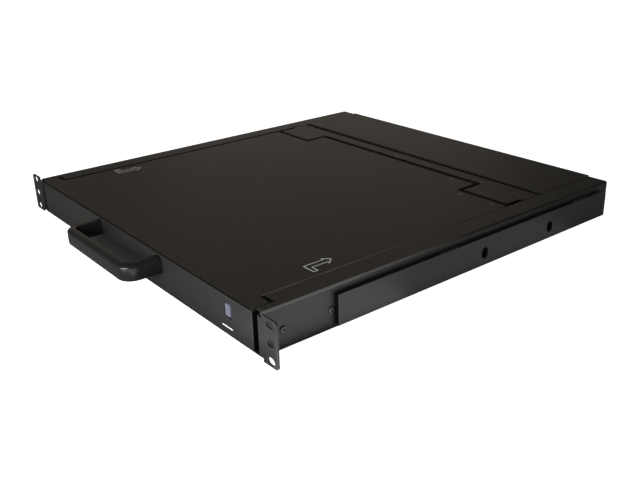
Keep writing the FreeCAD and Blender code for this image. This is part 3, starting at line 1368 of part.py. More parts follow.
save_pair("slide_outer", slide_outer())
save_pair("slide_middle", slide_middle())
save_pair("slide_inner", slide_inner())
save_group("ball_cages_outer", ball_cages(middle_half, SLIDE_THICKNESS * 0.5, SLIDE_FRONT + OUTER_CAGE_START))
save_group("ball_cages_inner", ball_cages(inner_half, SLIDE_THICKNESS * 0.62, SLIDE_FRONT + INNER_CAGE_START))

save("tray_pan", tray_pan())
save("front_bezel", front_bezel())
save("drawer_handle", drawer_handle())
save_group("handle_screws", handle_screws())
save_group("lid_bumpers", lid_bumpers())
save("latch_cover", latch_cover())
save("release_button", release_button())
save("latch_bolt", latch_bolt())
save("latch_guide", latch_guide())
save("latch_spring", latch_spring())

save("keyboard_deck", keyboard_deck())
save("keyboard_plate", keyboard_plate())
for row_name, caps in key_rows().items():
    save_group("keys_" + row_name + "_row", caps)
save("touchpad", touchpad())
save_pair("touchpad_button", pad_button())
save_group("indicator_lenses", indicator_lenses())

save("hinge_cover", hinge_cover())
save_group("hinge_cover_screws", top_screws(strip_screw_places(), under_top - SMALL_SCREW_LENGTH))
save_pair("hinge_bracket", hinge_bracket())
save_pair("hinge_arm", hinge_arm())

save("display_back_cover", display_back_cover())
save("display_frame", display_frame())
save("lcd_panel", lcd_panel())
save("display_board", display_board())
save("osd_board", osd_board())
for number, place in enumerate(osd_places(), 1):
    save("osd_button_" + str(number), osd_button(place))
save_group("display_screws", top_screws(lid_screw_places(), under_top - LID_SCREW_LENGTH))
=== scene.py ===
"""Looks of a one-unit rackmount console drawer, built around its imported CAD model."""

import math

import bmesh
import bpy
from mathutils import Matrix, Vector


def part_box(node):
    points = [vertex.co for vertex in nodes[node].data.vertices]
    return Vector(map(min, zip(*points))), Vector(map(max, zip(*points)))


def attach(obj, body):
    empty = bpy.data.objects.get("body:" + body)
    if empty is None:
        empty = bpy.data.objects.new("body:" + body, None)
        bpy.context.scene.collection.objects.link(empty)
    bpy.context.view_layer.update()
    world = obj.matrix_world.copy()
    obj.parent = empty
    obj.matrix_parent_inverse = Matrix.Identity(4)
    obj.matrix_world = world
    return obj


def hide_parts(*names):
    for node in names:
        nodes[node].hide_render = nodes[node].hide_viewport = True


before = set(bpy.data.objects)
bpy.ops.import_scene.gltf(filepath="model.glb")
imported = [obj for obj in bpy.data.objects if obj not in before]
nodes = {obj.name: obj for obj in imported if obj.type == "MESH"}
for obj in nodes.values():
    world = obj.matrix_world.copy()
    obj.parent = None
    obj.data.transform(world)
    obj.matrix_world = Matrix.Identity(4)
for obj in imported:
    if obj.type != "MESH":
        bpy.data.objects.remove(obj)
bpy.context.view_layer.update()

MM = 0.001
X, Y, Z = Vector((1, 0, 0)), Vector((0, 1, 0)), Vector((0, 0, 1))

# ---------------------------------------------------------------- camera
CAMERA_PLACE = Vector((672.78, -299.58, 306.63)) * MM
CAMERA_AZIMUTH = 0.901965
CAMERA_ELEVATION = 0.398405
CAMERA_ROLL = -0.025726
CAMERA_LENS = 45.41
CAMERA_SENSOR = 36.0
CAMERA_CLIP = (0.01, 100)


def make_camera():
    """The camera from its place, two angles and a small roll."""
    back = Vector((
        math.sin(CAMERA_AZIMUTH) * math.cos(CAMERA_ELEVATION),
        -math.cos(CAMERA_AZIMUTH) * math.cos(CAMERA_ELEVATION),
        math.sin(CAMERA_ELEVATION),
    ))
    level = (-back).cross(Z).normalized()
    rise = level.cross(-back)
    right = math.cos(CAMERA_ROLL) * level + math.sin(CAMERA_ROLL) * rise
    up = -math.sin(CAMERA_ROLL) * level + math.cos(CAMERA_ROLL) * rise
    data = bpy.data.cameras.new("camera")
    data.lens = CAMERA_LENS
    data.sensor_width = CAMERA_SENSOR
    data.clip_start, data.clip_end = CAMERA_CLIP
    camera = bpy.data.objects.new("camera", data)
    turn = Matrix((right, up, back)).transposed().to_4x4()
    camera.matrix_world = Matrix.Translation(CAMERA_PLACE) @ turn
    bpy.context.scene.collection.objects.link(camera)
    bpy.context.scene.camera = camera


# ---------------------------------------------------------------- stage and light
FLOOR_Z = -20.8 * MM
FLOOR_HALF = 6.0
FLOOR_COLOUR = (0.80, 0.80, 0.80, 1)
FLOOR_GLOW = 1.1
WHITE = (1.0, 1.0, 1.0, 1)


def make_stage():
    """White paper that only the camera sees; the light it would bounce comes from cards of its own."""
    mesh = bpy.data.meshes.new("floor")
    corners = [(-1, -1), (1, -1), (1, 1), (-1, 1)]
    mesh.from_pydata([(x * FLOOR_HALF, y * FLOOR_HALF, FLOOR_Z) for x, y in corners], [], [(0, 1, 2, 3)])
    floor = bpy.data.objects.new("floor", mesh)
    floor.visible_diffuse = False
    floor.visible_glossy = False
    bpy.context.scene.collection.objects.link(floor)
    material = bpy.data.materials.new("floor_paper")
    material.use_nodes = True
    shader = material.node_tree.nodes["Principled BSDF"]
    shader.inputs["Base Color"].default_value = FLOOR_COLOUR
    shader.inputs["Roughness"].default_value = 0.9
    shader.inputs["Specular IOR Level"].default_value = 0.1
    shader.inputs["Emission Color"].default_value = WHITE
    shader.inputs["Emission Strength"].default_value = FLOOR_GLOW
    mesh.materials.append(material)


WORLD_COLOUR = (1.0, 0.955, 0.85, 1)
WORLD_STRENGTH = 0.08
BACKDROP_STRENGTH = 1.0
WARM = (1.0, 0.86, 0.74)
COOL = (0.93, 0.97, 1.0)
CARD_Z = FLOOR_Z + 0.3 * MM

SOFTBOXES = (                # name, place, point it faces, size, power, colour
    ("rear_left_strip", (-1.3, 1.3, 0.28), (0.0, 0.3, 0.0), (1.2, 0.35), 0.97, WARM),
    ("left_card", (-1.25, 0.3, 0.45), (-0.1, 0.1, 0.0), (0.5, 0.35), 0.12, WARM),
    ("rear_right_edge_light", (0.9, 1.3, 1.5), (0.1, 0.2, 0.0), (0.5, 0.3), 2.2, WARM),
    ("front_softbox", (0.35, -0.9, 0.35), (0.1, 0.0, 0.0), (0.6, 0.3), 9.4, COOL),
    ("front_low_strip", (0.1, -0.9, 0.05), (0.1, 0.0, 0.0), (0.6, 0.2), 4.4, COOL),
)
FLOOR_CARDS = (              # name, x and y, size, power: the floor's own bounce
    ("bounce_front", (0.10, -0.16), (0.8, 0.28), 0.08),
    ("bounce_right_near", (0.50, 0.06), (0.54, 0.2), 0.27),
    ("bounce_right_middle", (0.50, 0.20), (0.54, 0.4), 0.235),
    ("bounce_right_far", (0.50, 0.38), (0.54, 0.8), 0.22),
    ("bounce_corner", (0.30, -0.22), (0.3, 0.36), 1.15),
    ("bounce_left", (-0.54, 0.34), (0.60, 0.6), 2.2),
    ("bounce_rear", (-0.13, 0.76), (0.66, 0.56), 1.4),
)


def area_light(name, place, target, size, power, colour):
    data = bpy.data.lights.new(name, "AREA")
    data.shape = "RECTANGLE"
    data.size, data.size_y = size
    data.energy = power
    data.color = colour
    light = bpy.data.objects.new(name, data)
    light.location = place
    light.rotation_mode = "QUATERNION"
    light.rotation_quaternion = (Vector(target) - Vector(place)).to_track_quat("-Z", "Y")
    light.visible_camera = False
    bpy.context.scene.collection.objects.link(light)


def make_world():
    """Dim warm surroundings for the light, with a pale backdrop where the camera looks past the floor."""
    world = bpy.data.worlds.new("studio")
    bpy.context.scene.world = world
    world.use_nodes = True
    tree = world.node_tree
    surroundings = tree.nodes["Background"]
    surroundings.inputs["Color"].default_value = WORLD_COLOUR
    surroundings.inputs["Strength"].default_value = WORLD_STRENGTH
    backdrop = tree.nodes.new("ShaderNodeBackground")
    backdrop.inputs["Color"].default_value = WHITE
    backdrop.inputs["Strength"].default_value = BACKDROP_STRENGTH
    seen = tree.nodes.new("ShaderNodeLightPath").outputs["Is Camera Ray"]
    mix = tree.nodes.new("ShaderNodeMixShader")
    tree.links.new(seen, mix.inputs[0])
    tree.links.new(surroundings.outputs[0], mix.inputs[1])
    tree.links.new(backdrop.outputs[0], mix.inputs[2])
    tree.links.new(mix.outputs[0], tree.nodes["World Output"].inputs["Surface"])


def make_light():
    """Surroundings, softboxes and the cards that stand in for the floor's bounce."""
    make_world()
    for name, place, target, size, power, colour in SOFTBOXES:
        area_light(name, place, target, size, power, colour)
    for name, (x, y), size, power in FLOOR_CARDS:
        area_light(name, (x, y, CARD_Z), (x, y, 1.0), size, power, COOL)
    bpy.context.scene.view_settings.view_transform = "Standard"


make_camera()
make_stage()
make_light()


# ---------------------------------------------------------------- materials
class Shader:
    """A small builder for one procedural material."""

    def __init__(self, name, colour, roughness, metallic=0.0, specular=0.5, coat=0.0, coat_roughness=0.1):
        self.material = bpy.data.materials.new(name)
        self.material.use_nodes = True
        self.tree = self.material.node_tree
        self.shader = self.tree.nodes["Principled BSDF"]
        for socket, value in (
            ("Base Color", (*colour, 1)), ("Roughness", roughness), ("Metallic", metallic),
            ("Specular IOR Level", specular), ("Coat Weight", coat), ("Coat Roughness", coat_roughness),
        ):
            self.shader.inputs[socket].default_value = value
        self.place = self.tree.nodes.new("ShaderNodeTexCoord").outputs["Object"]
        self.normal = None

    def node(self, kind, **values):
        made = self.tree.nodes.new(kind)
        for key, value in values.items():
            setattr(made, key, value)
        return made

    def join(self, a, b):
        self.tree.links.new(a, b)

    def scaled(self, stretch):
        """Coordinates stretched by a factor per axis."""
        mapping = self.node("ShaderNodeMapping")
        mapping.inputs["Scale"].default_value = stretch
        self.join(self.place, mapping.inputs["Vector"])
        return mapping.outputs["Vector"]

    def noise(self, scale, detail=3.0, rough=0.55, stretch=(1, 1, 1)):
        texture = self.node("ShaderNodeTexNoise")
        texture.inputs["Scale"].default_value = scale
        texture.inputs["Detail"].default_value = detail
        texture.inputs["Roughness"].default_value = rough
        self.join(self.scaled(stretch), texture.inputs["Vector"])
        return texture.outputs["Fac"]

    def cells(self, scale, feature="F1", stretch=(1, 1, 1)):
        texture = self.node("ShaderNodeTexVoronoi", feature=feature)
        texture.inputs["Scale"].default_value = scale
        self.join(self.scaled(stretch), texture.inputs["Vector"])
        return texture.outputs["Distance"]

    def spread(self, value, low, high, from_low=0.3, from_high=0.7):
        """Maps a texture's middle range on to low..high."""
        ranger = self.node("ShaderNodeMapRange")
        limits = {"From Min": from_low, "From Max": from_high, "To Min": low, "To Max": high}
        for socket, limit in limits.items():
            ranger.inputs[socket].default_value = limit
        self.join(value, ranger.inputs["Value"])
        return ranger.outputs["Result"]

    def tint(self, value, low, high, from_low=0.3, from_high=0.7):
        """Base colour that varies between two colours with a texture."""
        ramp = self.node("ShaderNodeValToRGB")
        ramp.color_ramp.elements[0].position = from_low
        ramp.color_ramp.elements[1].position = from_high
        ramp.color_ramp.elements[0].color = (*low, 1)
        ramp.color_ramp.elements[1].color = (*high, 1)
        self.join(value, ramp.inputs["Fac"])
        self.join(ramp.outputs["Color"], self.shader.inputs["Base Color"])

    def along_y(self, start, end):
        """0 up to one place along the part, 1 from another on."""
        separate = self.node("ShaderNodeSeparateXYZ")
        self.join(self.place, separate.inputs["Vector"])
        return self.spread(separate.outputs["Y"], 0.0, 1.0, start, end)

    def rough(self, value, low, high):
        """Roughness that varies between two values with a texture."""
        self.join(self.spread(value, low, high), self.shader.inputs["Roughness"])

    def bump(self, value, depth):
        """Adds a height in metres on top of what is already there."""
        bump = self.node("ShaderNodeBump")
        bump.inputs["Distance"].default_value = depth
        bump.inputs["Strength"].default_value = 1.0
        self.join(value, bump.inputs["Height"])
        if self.normal is not None:
            self.join(self.normal, bump.inputs["Normal"])
        self.normal = bump.outputs["Normal"]
        self.join(self.normal, self.shader.inputs["Normal"])


def scaled_colour(colour, factor):
    return tuple(channel * factor for channel in colour)


def powder_coat(name, colour, roughness, grain):
    """Fine-grained textured paint."""
    coat = Shader(name, colour, roughness)
    coat.tint(coat.noise(260, 4, 0.7), scaled_colour(colour, 0.86), scaled_colour(colour, 1.15))
    coat.rough(coat.noise(420, 3, 0.7), roughness - 0.035, roughness + 0.04)
    coat.bump(coat.noise(grain, 2, 0.5), 0.00009)
    coat.bump(coat.noise(grain * 2.7, 1, 0.5), 0.00003)
    return coat.material


def painted_highlight_coat(name, front, rear, roughness, fade):
    """Powder coat with a painted highlight: lighter at the front, fading to darker along the part."""
    coat = Shader(name, front, roughness)
    coat.tint(coat.along_y(*fade), front, rear, 0.0, 1.0)
    coat.rough(coat.noise(420, 3, 0.7), roughness - 0.035, roughness + 0.04)
    coat.bump(coat.noise(1500, 2, 0.5), 0.00003)
    return coat.material


def moulded(name, colour, roughness, grain, depth=0.00004):
    """Plastic or rubber with a fine moulded grain."""
    plastic = Shader(name, colour, roughness)
    plastic.tint(plastic.noise(55, 3), scaled_colour(colour, 0.9), scaled_colour(colour, 1.12))
    plastic.rough(plastic.noise(220, 2), roughness - 0.05, roughness + 0.05)
    plastic.bump(plastic.noise(grain, 2, 0.6), depth)
    return plastic.material


def brushed(name, colour, roughness, stretch=(1, 0.03, 1)):
    """Plated sheet metal with spangle and rolling marks along one axis."""
    steel = Shader(name, colour, roughness, metallic=1.0)
    patches = steel.cells(90, "SMOOTH_F1")
    steel.tint(patches, scaled_colour(colour, 0.86), scaled_colour(colour, 1.06), 0.0, 0.8)
    steel.rough(steel.noise(1800, 3, 0.6, stretch), roughness - 0.08, roughness + 0.12)
    steel.bump(steel.noise(2400, 2, 0.6, stretch), 0.000012)
    return steel.material


def satin_black(name, colour, roughness):
    """Smooth satin paint."""
    satin = Shader(name, colour, roughness)
    satin.tint(satin.noise(240, 4, 0.7), scaled_colour(colour, 0.92), scaled_colour(colour, 1.09))
    satin.rough(satin.noise(500, 3, 0.7), roughness - 0.03, roughness + 0.03)
    satin.bump(satin.noise(2400, 2, 0.5), 0.000004)
    return satin.material


def black_nickel(name, colour, roughness):
    """Dark plating of screws."""
    plating = Shader(name, colour, roughness, metallic=0.85)
    plating.tint(plating.noise(500, 3), scaled_colour(colour, 0.85), scaled_colour(colour, 1.15))
    plating.rough(plating.noise(900, 2), roughness - 0.06, roughness + 0.08)
    plating.bump(plating.noise(2600, 2), 0.000008)
    return plating.material


def board_green():
    board = Shader("board_green", (0.012, 0.085, 0.035), 0.32, coat=0.4, coat_roughness=0.15)
    tracks = board.cells(420, "F1", (1, 0.35, 1))
    board.tint(tracks, (0.010, 0.10, 0.038), (0.007, 0.050, 0.022), 0.25, 0.45)
    board.rough(board.noise(300), 0.26, 0.42)
    board.bump(board.cells(420, "F1", (1, 0.35, 1)), 0.00002)
    return board.material


def lcd_glass():
    glass = Shader("lcd_glass", (0.004, 0.0045, 0.006), 0.24, coat=0.5, coat_roughness=0.08)
    glass.tint(glass.noise(9, 2), (0.0035, 0.004, 0.0055), (0.0055, 0.006, 0.008))
    glass.rough(glass.noise(1400, 1), 0.20, 0.28)
    glass.bump(glass.noise(4200, 1), 0.000004)
    return glass.material


def lcd_film():
    film = Shader("lcd_film", (0.012, 0.013, 0.016), 0.30, coat=0.25, coat_roughness=0.22)
    film.tint(film.noise(6, 2), (0.010, 0.011, 0.0145), (0.014, 0.015, 0.019))
    film.rough(film.noise(1600, 1), 0.27, 0.36)
    film.bump(film.noise(5200, 1), 0.000003)
    return film.material


def print_white():
    ink = Shader("print_white", (0.84, 0.84, 0.82), 0.55)
    ink.tint(ink.noise(900, 3), (0.78, 0.78, 0.76), (0.90, 0.90, 0.88))
    ink.rough(ink.noise(700), 0.48, 0.62)
    ink.bump(ink.noise(2600, 2), 0.00001)
    return ink.material


def powder_fold():
    """Powder coat in the shade of a fold."""
    fold = Shader("powder_fold", (0.016, 0.0145, 0.0135), 0.6, specular=0.12)
    fold.tint(fold.noise(260, 4, 0.7), (0.014, 0.0127, 0.0118), (0.018, 0.0163, 0.0152))
    fold.bump(fold.noise(1400, 2, 0.5), 0.00003)
    return fold.material


def trim_black():
    """Dull black for painted shade in seams, on the bezel's ends and the sleeves' front ends, and for the
    bushes in the slots.
    """
    trim = Shader("trim_black", (0.0035, 0.0034, 0.0033), 0.75, specular=0.05)
    trim.tint(trim.noise(300, 3), (0.0028, 0.0028, 0.0027), (0.0042, 0.0041, 0.0040))
    trim.rough(trim.noise(700, 2), 0.68, 0.82)
    trim.bump(trim.noise(1500, 2), 0.00002)
    return trim.material


def lens_green():
    lens = Shader("lens_green", (0.05, 0.32, 0.10), 0.18, coat=0.6, coat_roughness=0.05)
    lens.tint(lens.noise(700, 1), (0.04, 0.26, 0.08), (0.08, 0.42, 0.14))
    lens.rough(lens.noise(900), 0.12, 0.24)
    return lens.material


PAINTED_HIGHLIGHT_COLOUR = (0.12, 0.116, 0.112)    # painted highlight on edges and folds
PAINTED_HIGHLIGHT_REAR = (0.009, 0.008, 0.0075)
PAINTED_HIGHLIGHT_ROUGHNESS = 0.34
PAINTED_HIGHLIGHT_FADE = (0.09, 0.24)              # where the painted highlight starts and stops fading along the part


def make_materials():
    """Every material by its name; the CAD's slots use some of them."""
    return {
        "powder_black": powder_coat("powder_black", (0.0195, 0.0168, 0.0148), 0.47, 1050),
        "powder_edge_highlight": powder_coat("powder_edge_highlight", PAINTED_HIGHLIGHT_COLOUR, PAINTED_HIGHLIGHT_ROUGHNESS, 1500),
        "tray_steel": powder_coat("tray_steel", (0.030, 0.029, 0.028), 0.5, 900),
        "zinc_steel": brushed("zinc_steel", (0.56, 0.57, 0.58), 0.32),
        "spring_steel": brushed("spring_steel", (0.42, 0.42, 0.43), 0.28),
        "screw_black": black_nickel("screw_black", (0.075, 0.075, 0.078), 0.30),
        # a light grey that is partly the screws' plating and partly painted glint on the heads of the
        # display's and hinge cover's screws
        "screw_glint_plating": black_nickel("screw_glint_plating", (0.22, 0.215, 0.21), 0.36),
        "handle_black": satin_black("handle_black", (0.013, 0.013, 0.0128), 0.24),
        "board_green": board_green(),
        "connector_black": moulded("connector_black", (0.016, 0.016, 0.017), 0.38, 2000),
        "connector_metal": brushed("connector_metal", (0.32, 0.31, 0.29), 0.26, (1, 1, 0.05)),
        # the dark navy of button_blue is painted shade of the button's sides; its lit face is the pale
        # button_pad
        "button_blue": moulded("button_blue", (0.018, 0.022, 0.050), 0.42, 1800),
        "button_pad": moulded("button_pad", (0.140, 0.133, 0.180), 0.45, 1800),
        "trim_black": trim_black(),
        "powder_fold": powder_fold(),
        "powder_painted_highlight": painted_highlight_coat(
            "powder_painted_highlight", PAINTED_HIGHLIGHT_COLOUR, PAINTED_HIGHLIGHT_REAR, PAINTED_HIGHLIGHT_ROUGHNESS, PAINTED_HIGHLIGHT_FADE,
        ),
        "rubber_black": moulded("rubber_black", (0.012, 0.012, 0.012), 0.75, 1400),
        "deck_plastic": moulded("deck_plastic", (0.036, 0.0355, 0.035), 0.5, 1300, 0.00006),
        "key_plastic": moulded("key_plastic", (0.019, 0.019, 0.020), 0.42, 2200, 0.00003),
        "lens_green": lens_green(),
        "lcd_glass": lcd_glass(),
        "lcd_film": lcd_film(),
        "print_white": print_white(),
    }


def coat_nodes():
    """Every slot of a CAD node gets the procedural material of its name."""
    for node in nodes.values():
        for slot in node.material_slots:
            slot.material = materials[slot.material.name.split(".")[0]]


materials = make_materials()
coat_nodes()

# ---------------------------------------------------------------- helpers for meshes
SAME_POINT = 1e-6            # points of a CAD mesh closer than this are one


def circle(sides):
    """Points of a unit circle, as (x, y), anticlockwise."""
    angles = [2 * math.pi * side / sides for side in range(sides)]
    return [(math.cos(angle), math.sin(angle)) for angle in angles]


def solids_of(node):
    """Boxes of the separate solids in a CAD node, as (low corner, high corner)."""
    mesh = bmesh.new()
    mesh.from_mesh(nodes[node].data)
    bmesh.ops.remove_doubles(mesh, verts=mesh.verts, dist=SAME_POINT)
    left = set(mesh.verts)
    boxes = []
    while left:
        start = left.pop()
        group, front = [start], [start]
        while front:
            vertex = front.pop()
            for edge in vertex.link_edges:
                other = edge.other_vert(vertex)
                if other in left:
                    left.discard(other)
                    group.append(other)
                    front.append(other)
        low = Vector([min(v.co[axis] for v in group) for axis in range(3)])
        high = Vector([max(v.co[axis] for v in group) for axis in range(3)])
        boxes.append((low, high))
    mesh.free()
    return sorted(boxes, key=lambda box: tuple(round(c, 5) for c in (*box[0], *box[1])))


class Build:
    """Vertices and faces of one piece, gathered bit by bit."""

    def __init__(self):
        self.verts = []
        self.faces = []

    def add(self, verts, faces):
        start = len(self.verts)
        self.verts.extend(Vector(v) for v in verts)
        self.faces.extend(tuple(start + i for i in face) for face in faces)

    def rings(self, rings, closed_ends=(True, True)):
        """A skin over rings with the same number of points, with end faces."""
        count = len(rings[0])
        verts = [point for ring in rings for point in ring]
        faces = []
        for level in range(len(rings) - 1):
            for i in range(count):
                j = (i + 1) % count
                a, b = level * count, (level + 1) * count
                faces.append((a + i, a + j, b + j, b + i))
        if closed_ends[0]:
            faces.append(tuple(reversed(range(count))))
        if closed_ends[1]:
            top = (len(rings) - 1) * count
            faces.append(tuple(range(top, top + count)))
        self.add(verts, faces)

    def make(self, name, material, body, smooth=True):
        """The piece as an object that rides with a body."""
        mesh = bpy.data.meshes.new(name)
        mesh.from_pydata([tuple(v) for v in self.verts], [], self.faces)
        mesh.materials.append(materials[material])
        mesh.polygons.foreach_set("use_smooth", [smooth] * len(mesh.polygons))
        mesh.update()
        piece = bpy.data.objects.new(name, mesh)
        bpy.context.scene.collection.objects.link(piece)
        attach(piece, body)
        return piece


def ring_of(centre, half_x, half_y, corner, z, steps=4, dish=None):
    """Rounded rectangle in plan, anticlockwise; dish lowers points by their distance from the middle."""
    corner = min(corner, half_x, half_y)
    points = []
    for quarter, (sx, sy) in enumerate(((1, 1), (-1, 1), (-1, -1), (1, -1))):
        for step in range(steps + 1):
            angle = math.pi / 2 * (quarter + step / steps)
            x = centre[0] + sx * (half_x - corner) + corner * math.cos(angle)
            y = centre[1] + sy * (half_y - corner) + corner * math.sin(angle)
            drop = dish(x - centre[0], y - centre[1]) if dish else 0.0
            points.append(Vector((x, y, z - drop)))
    return points


# ---------------------------------------------------------------- keys
KEY_ROWS = ("function", "number", "upper", "home", "lower", "space", "numpad")
CAP_BASE_Z = -5.2 * MM
CAP_SIDE_TAPER = 1.7 * MM
CAP_FRONT_TAPER = 1.9 * MM
CAP_REAR_TAPER = 1.2 * MM
CAP_DISH = 0.55 * MM
CAP_ROUND = 0.7 * MM
CAP_BASE_CORNER = 1.1 * MM
CAP_TOP_CORNER = 2.0 * MM
CAP_SIDE_RINGS = (0.5, 1.0)  # shares of the way up a cap's sides
CAP_ROUND_ANGLES = (30, 60, 90)
CAP_TOP_RINGS = (0.82, 0.6, 0.35, 0.12)     # shares of the top's size
CAP_DISH_REACH = 7.0 * MM    # the dish runs out over this stretch from a cap's sides
STEM_HALF = (3.0 * MM, 2.0 * MM)
STEM_CORNER = 0.3 * MM


def keycap(build, low, high):
    """A dished cap with rounded corners on its guide stem, in the CAD key's own box."""
    centre = (low + high) / 2
    half_x, half_y = (high.x - low.x) / 2, (high.y - low.y) / 2
    top_x = half_x - CAP_SIDE_TAPER
    top_y = half_y - (CAP_FRONT_TAPER + CAP_REAR_TAPER) / 2
    shift = (CAP_FRONT_TAPER - CAP_REAR_TAPER) / 2
    span = min(top_x, CAP_DISH_REACH)

    def dish(x, y):
        edge = max(0.0, 1 - (max(0.0, abs(x) - (top_x - span)) / span) ** 2)
        return CAP_DISH * edge

    rings = [ring_of(centre, half_x, half_y, CAP_BASE_CORNER, CAP_BASE_Z)]
    shoulder = high.z - CAP_ROUND
    for share in CAP_SIDE_RINGS:
        z = CAP_BASE_Z + (shoulder - CAP_BASE_Z) * share
        middle = (centre.x, centre.y + shift * share)
        size = (top_x + (half_x - top_x) * (1 - share), top_y + (half_y - top_y) * (1 - share))
        corner = CAP_BASE_CORNER + (CAP_TOP_CORNER - CAP_BASE_CORNER) * share
        rings.append(ring_of(middle, *size, corner, z))
    middle = (centre.x, centre.y + shift)
    for angle in CAP_ROUND_ANGLES:
        turn = math.radians(angle)
        inset = CAP_ROUND * (1 - math.cos(turn))
        z = shoulder + CAP_ROUND * math.sin(turn)
        rings.append(ring_of(middle, top_x - inset, top_y - inset, CAP_TOP_CORNER - inset, z))
    for share in CAP_TOP_RINGS:
        size = (top_x * share, top_y * share)
        rings.append(ring_of(middle, *size, CAP_TOP_CORNER * share, high.z, dish=dish))
    build.rings(rings)
    stem = [ring_of(centre, *STEM_HALF, STEM_CORNER, z, 1) for z in (low.z, CAP_BASE_Z)]
    build.rings(stem)


def make_keys():
    """Caps row by row, in place of the plain keys."""
    for row in KEY_ROWS:
        build = Build()
        for low, high in solids_of(f"keys_{row}_row"):
            keycap(build, low, high)
        caps = build.make(f"keycaps_{row}", "key_plastic", f"keys_{row}_row")
        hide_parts(f"keys_{row}_row")


# ---------------------------------------------------------------- screws
SCREW_SIDES = 24
HEAD_PROFILE = ((1.0, 0.0), (1.0, 0.42), (0.95, 0.66), (0.86, 0.84), (0.70, 0.96), (0.40, 1.0))
RECESS_ARM = 0.15           # half width of an arm, of the head's radius
RECESS_REACH = 0.56
RECESS_FLOOR = 0.25         # of the head's height
RECESS_TOP = 1.5            # the cutter reaches past the head
SHANK_SIDES = 12
SHANK_RADIUS = 0.5          # of the head's radius
SHANK_LAP = 0.1             # into the head, of its height
SCREW_NODES = (             # node, body, outward axis, head height, material
    ("chassis_screws", "chassis", X, 1.2 * MM, "screw_black"),
    ("display_screws", "display", Z, 0.4 * MM, "screw_glint_plating"),
    ("hinge_cover_screws", "drawer", Z, 0.4 * MM, "screw_glint_plating"),
    ("rear_cover_screws", "chassis", Y, 1.0 * MM, "screw_black"),
    ("handle_screws", "drawer", Y, 1.6 * MM, "screw_black"),
)


def evaluated(piece):
    """The piece's mesh with its modifiers applied; the piece itself goes."""
    bpy.context.view_layer.update()
    mesh = bpy.data.meshes.new_from_object(piece.evaluated_get(bpy.context.evaluated_depsgraph_get()))
    bpy.data.objects.remove(piece)
    return mesh


def recessed_head():
    """Pan head one unit in radius and in height, cut by a cross recess."""
    head, cross = Build(), Build()
    rings = []
    for reach, rise in HEAD_PROFILE:
        rings.append([Vector((reach * x, reach * y, rise)) for x, y in circle(SCREW_SIDES)])
    head.rings(rings)
    plan = []
    for quarter in range(4):
        turn = Matrix.Rotation(quarter * math.pi / 2, 3, "Z")
        for x, y in ((RECESS_REACH, -RECESS_ARM), (RECESS_REACH, RECESS_ARM), (RECESS_ARM, RECESS_ARM)):
            plan.append(turn @ Vector((x, y, 0)))
    cross.rings([[point + Z * z for point in plan] for z in (RECESS_FLOOR, RECESS_TOP)])
    head = head.make("head_form", "screw_black", "chassis")
    cross = cross.make("recess_form", "screw_black", "chassis")
    cut = head.modifiers.new("recess", "BOOLEAN")
    cut.operation = "DIFFERENCE"
    cut.solver = "EXACT"
    cut.object = cross
    mesh = evaluated(head)
    bpy.data.objects.remove(cross)
    return [v.co.copy() for v in mesh.vertices], [tuple(p.vertices) for p in mesh.polygons]


def make_screws():
    """Screws with cross recesses, each in its CAD screw's own place and size."""
    head_verts, head_faces = recessed_head()
    for node, body, axis, head_height, material in SCREW_NODES:
        build = Build()
        for low, high in solids_of(node):
            centre = (low + high) / 2
            out = axis if centre.dot(axis) > 0 else -axis
            across = [high[i] - low[i] for i in range(3) if abs(axis[i]) < 0.5]
            radius = min(across) / 2
            tip = centre + out * abs((high - low).dot(axis)) / 2
            turn = out.to_track_quat("Z", "Y").to_matrix()
            seat = tip - out * head_height
            scaled = [Vector((v.x * radius, v.y * radius, v.z * head_height)) for v in head_verts]
            build.add([seat + turn @ point for point in scaled], head_faces)
            end = centre * 2 - tip
            rim = [turn @ Vector((x, y, 0)) * radius * SHANK_RADIUS for x, y in circle(SHANK_SIDES)]
            lap = seat + out * head_height * SHANK_LAP
            build.rings([[place + point for point in rim] for place in (end, lap)])
        screws = build.make(f"{node}_detailed", material, body, smooth=False)
        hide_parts(node)


# ---------------------------------------------------------------- handle
BAIL_LEG = 9.0 * MM
BAIL_BAR = 8.0 * MM
BAIL_CORNER = 15.0 * MM
BAIL_STEPS = 10
BAIL_ROUND_STEPS = 5
BAIL_END_RING = 0.6 * MM     # a ring this near to each end keeps the end face flat
# Corners of the bail's section: outer or inner side, top or bottom, reach across and up
BAIL_ROUNDS = (
    ("inner", "bottom", 0.9 * MM, 0.9 * MM),
    ("outer", "bottom", 2.0 * MM, 2.4 * MM),
    ("outer", "top", 6.9 * MM, 3.2 * MM),
    ("inner", "top", 0.6 * MM, 0.6 * MM),
)


def bail_ring(inner, outer, low, high):
    """The bail's rounded section between a point on its inner face and one on its outer face."""
    across = (outer - inner).normalized()
    points = []
    for quarter, (side, level, reach, rise) in enumerate(BAIL_ROUNDS):
        base = outer - across * reach if side == "outer" else inner + across * reach
        height = high - rise if level == "top" else low + rise
        for step in range(BAIL_ROUND_STEPS + 1):
            angle = math.pi / 2 * (2 + quarter + step / BAIL_ROUND_STEPS)
            points.append(base + across * reach * math.cos(angle) + Z * (height + rise * math.sin(angle)))
    return points


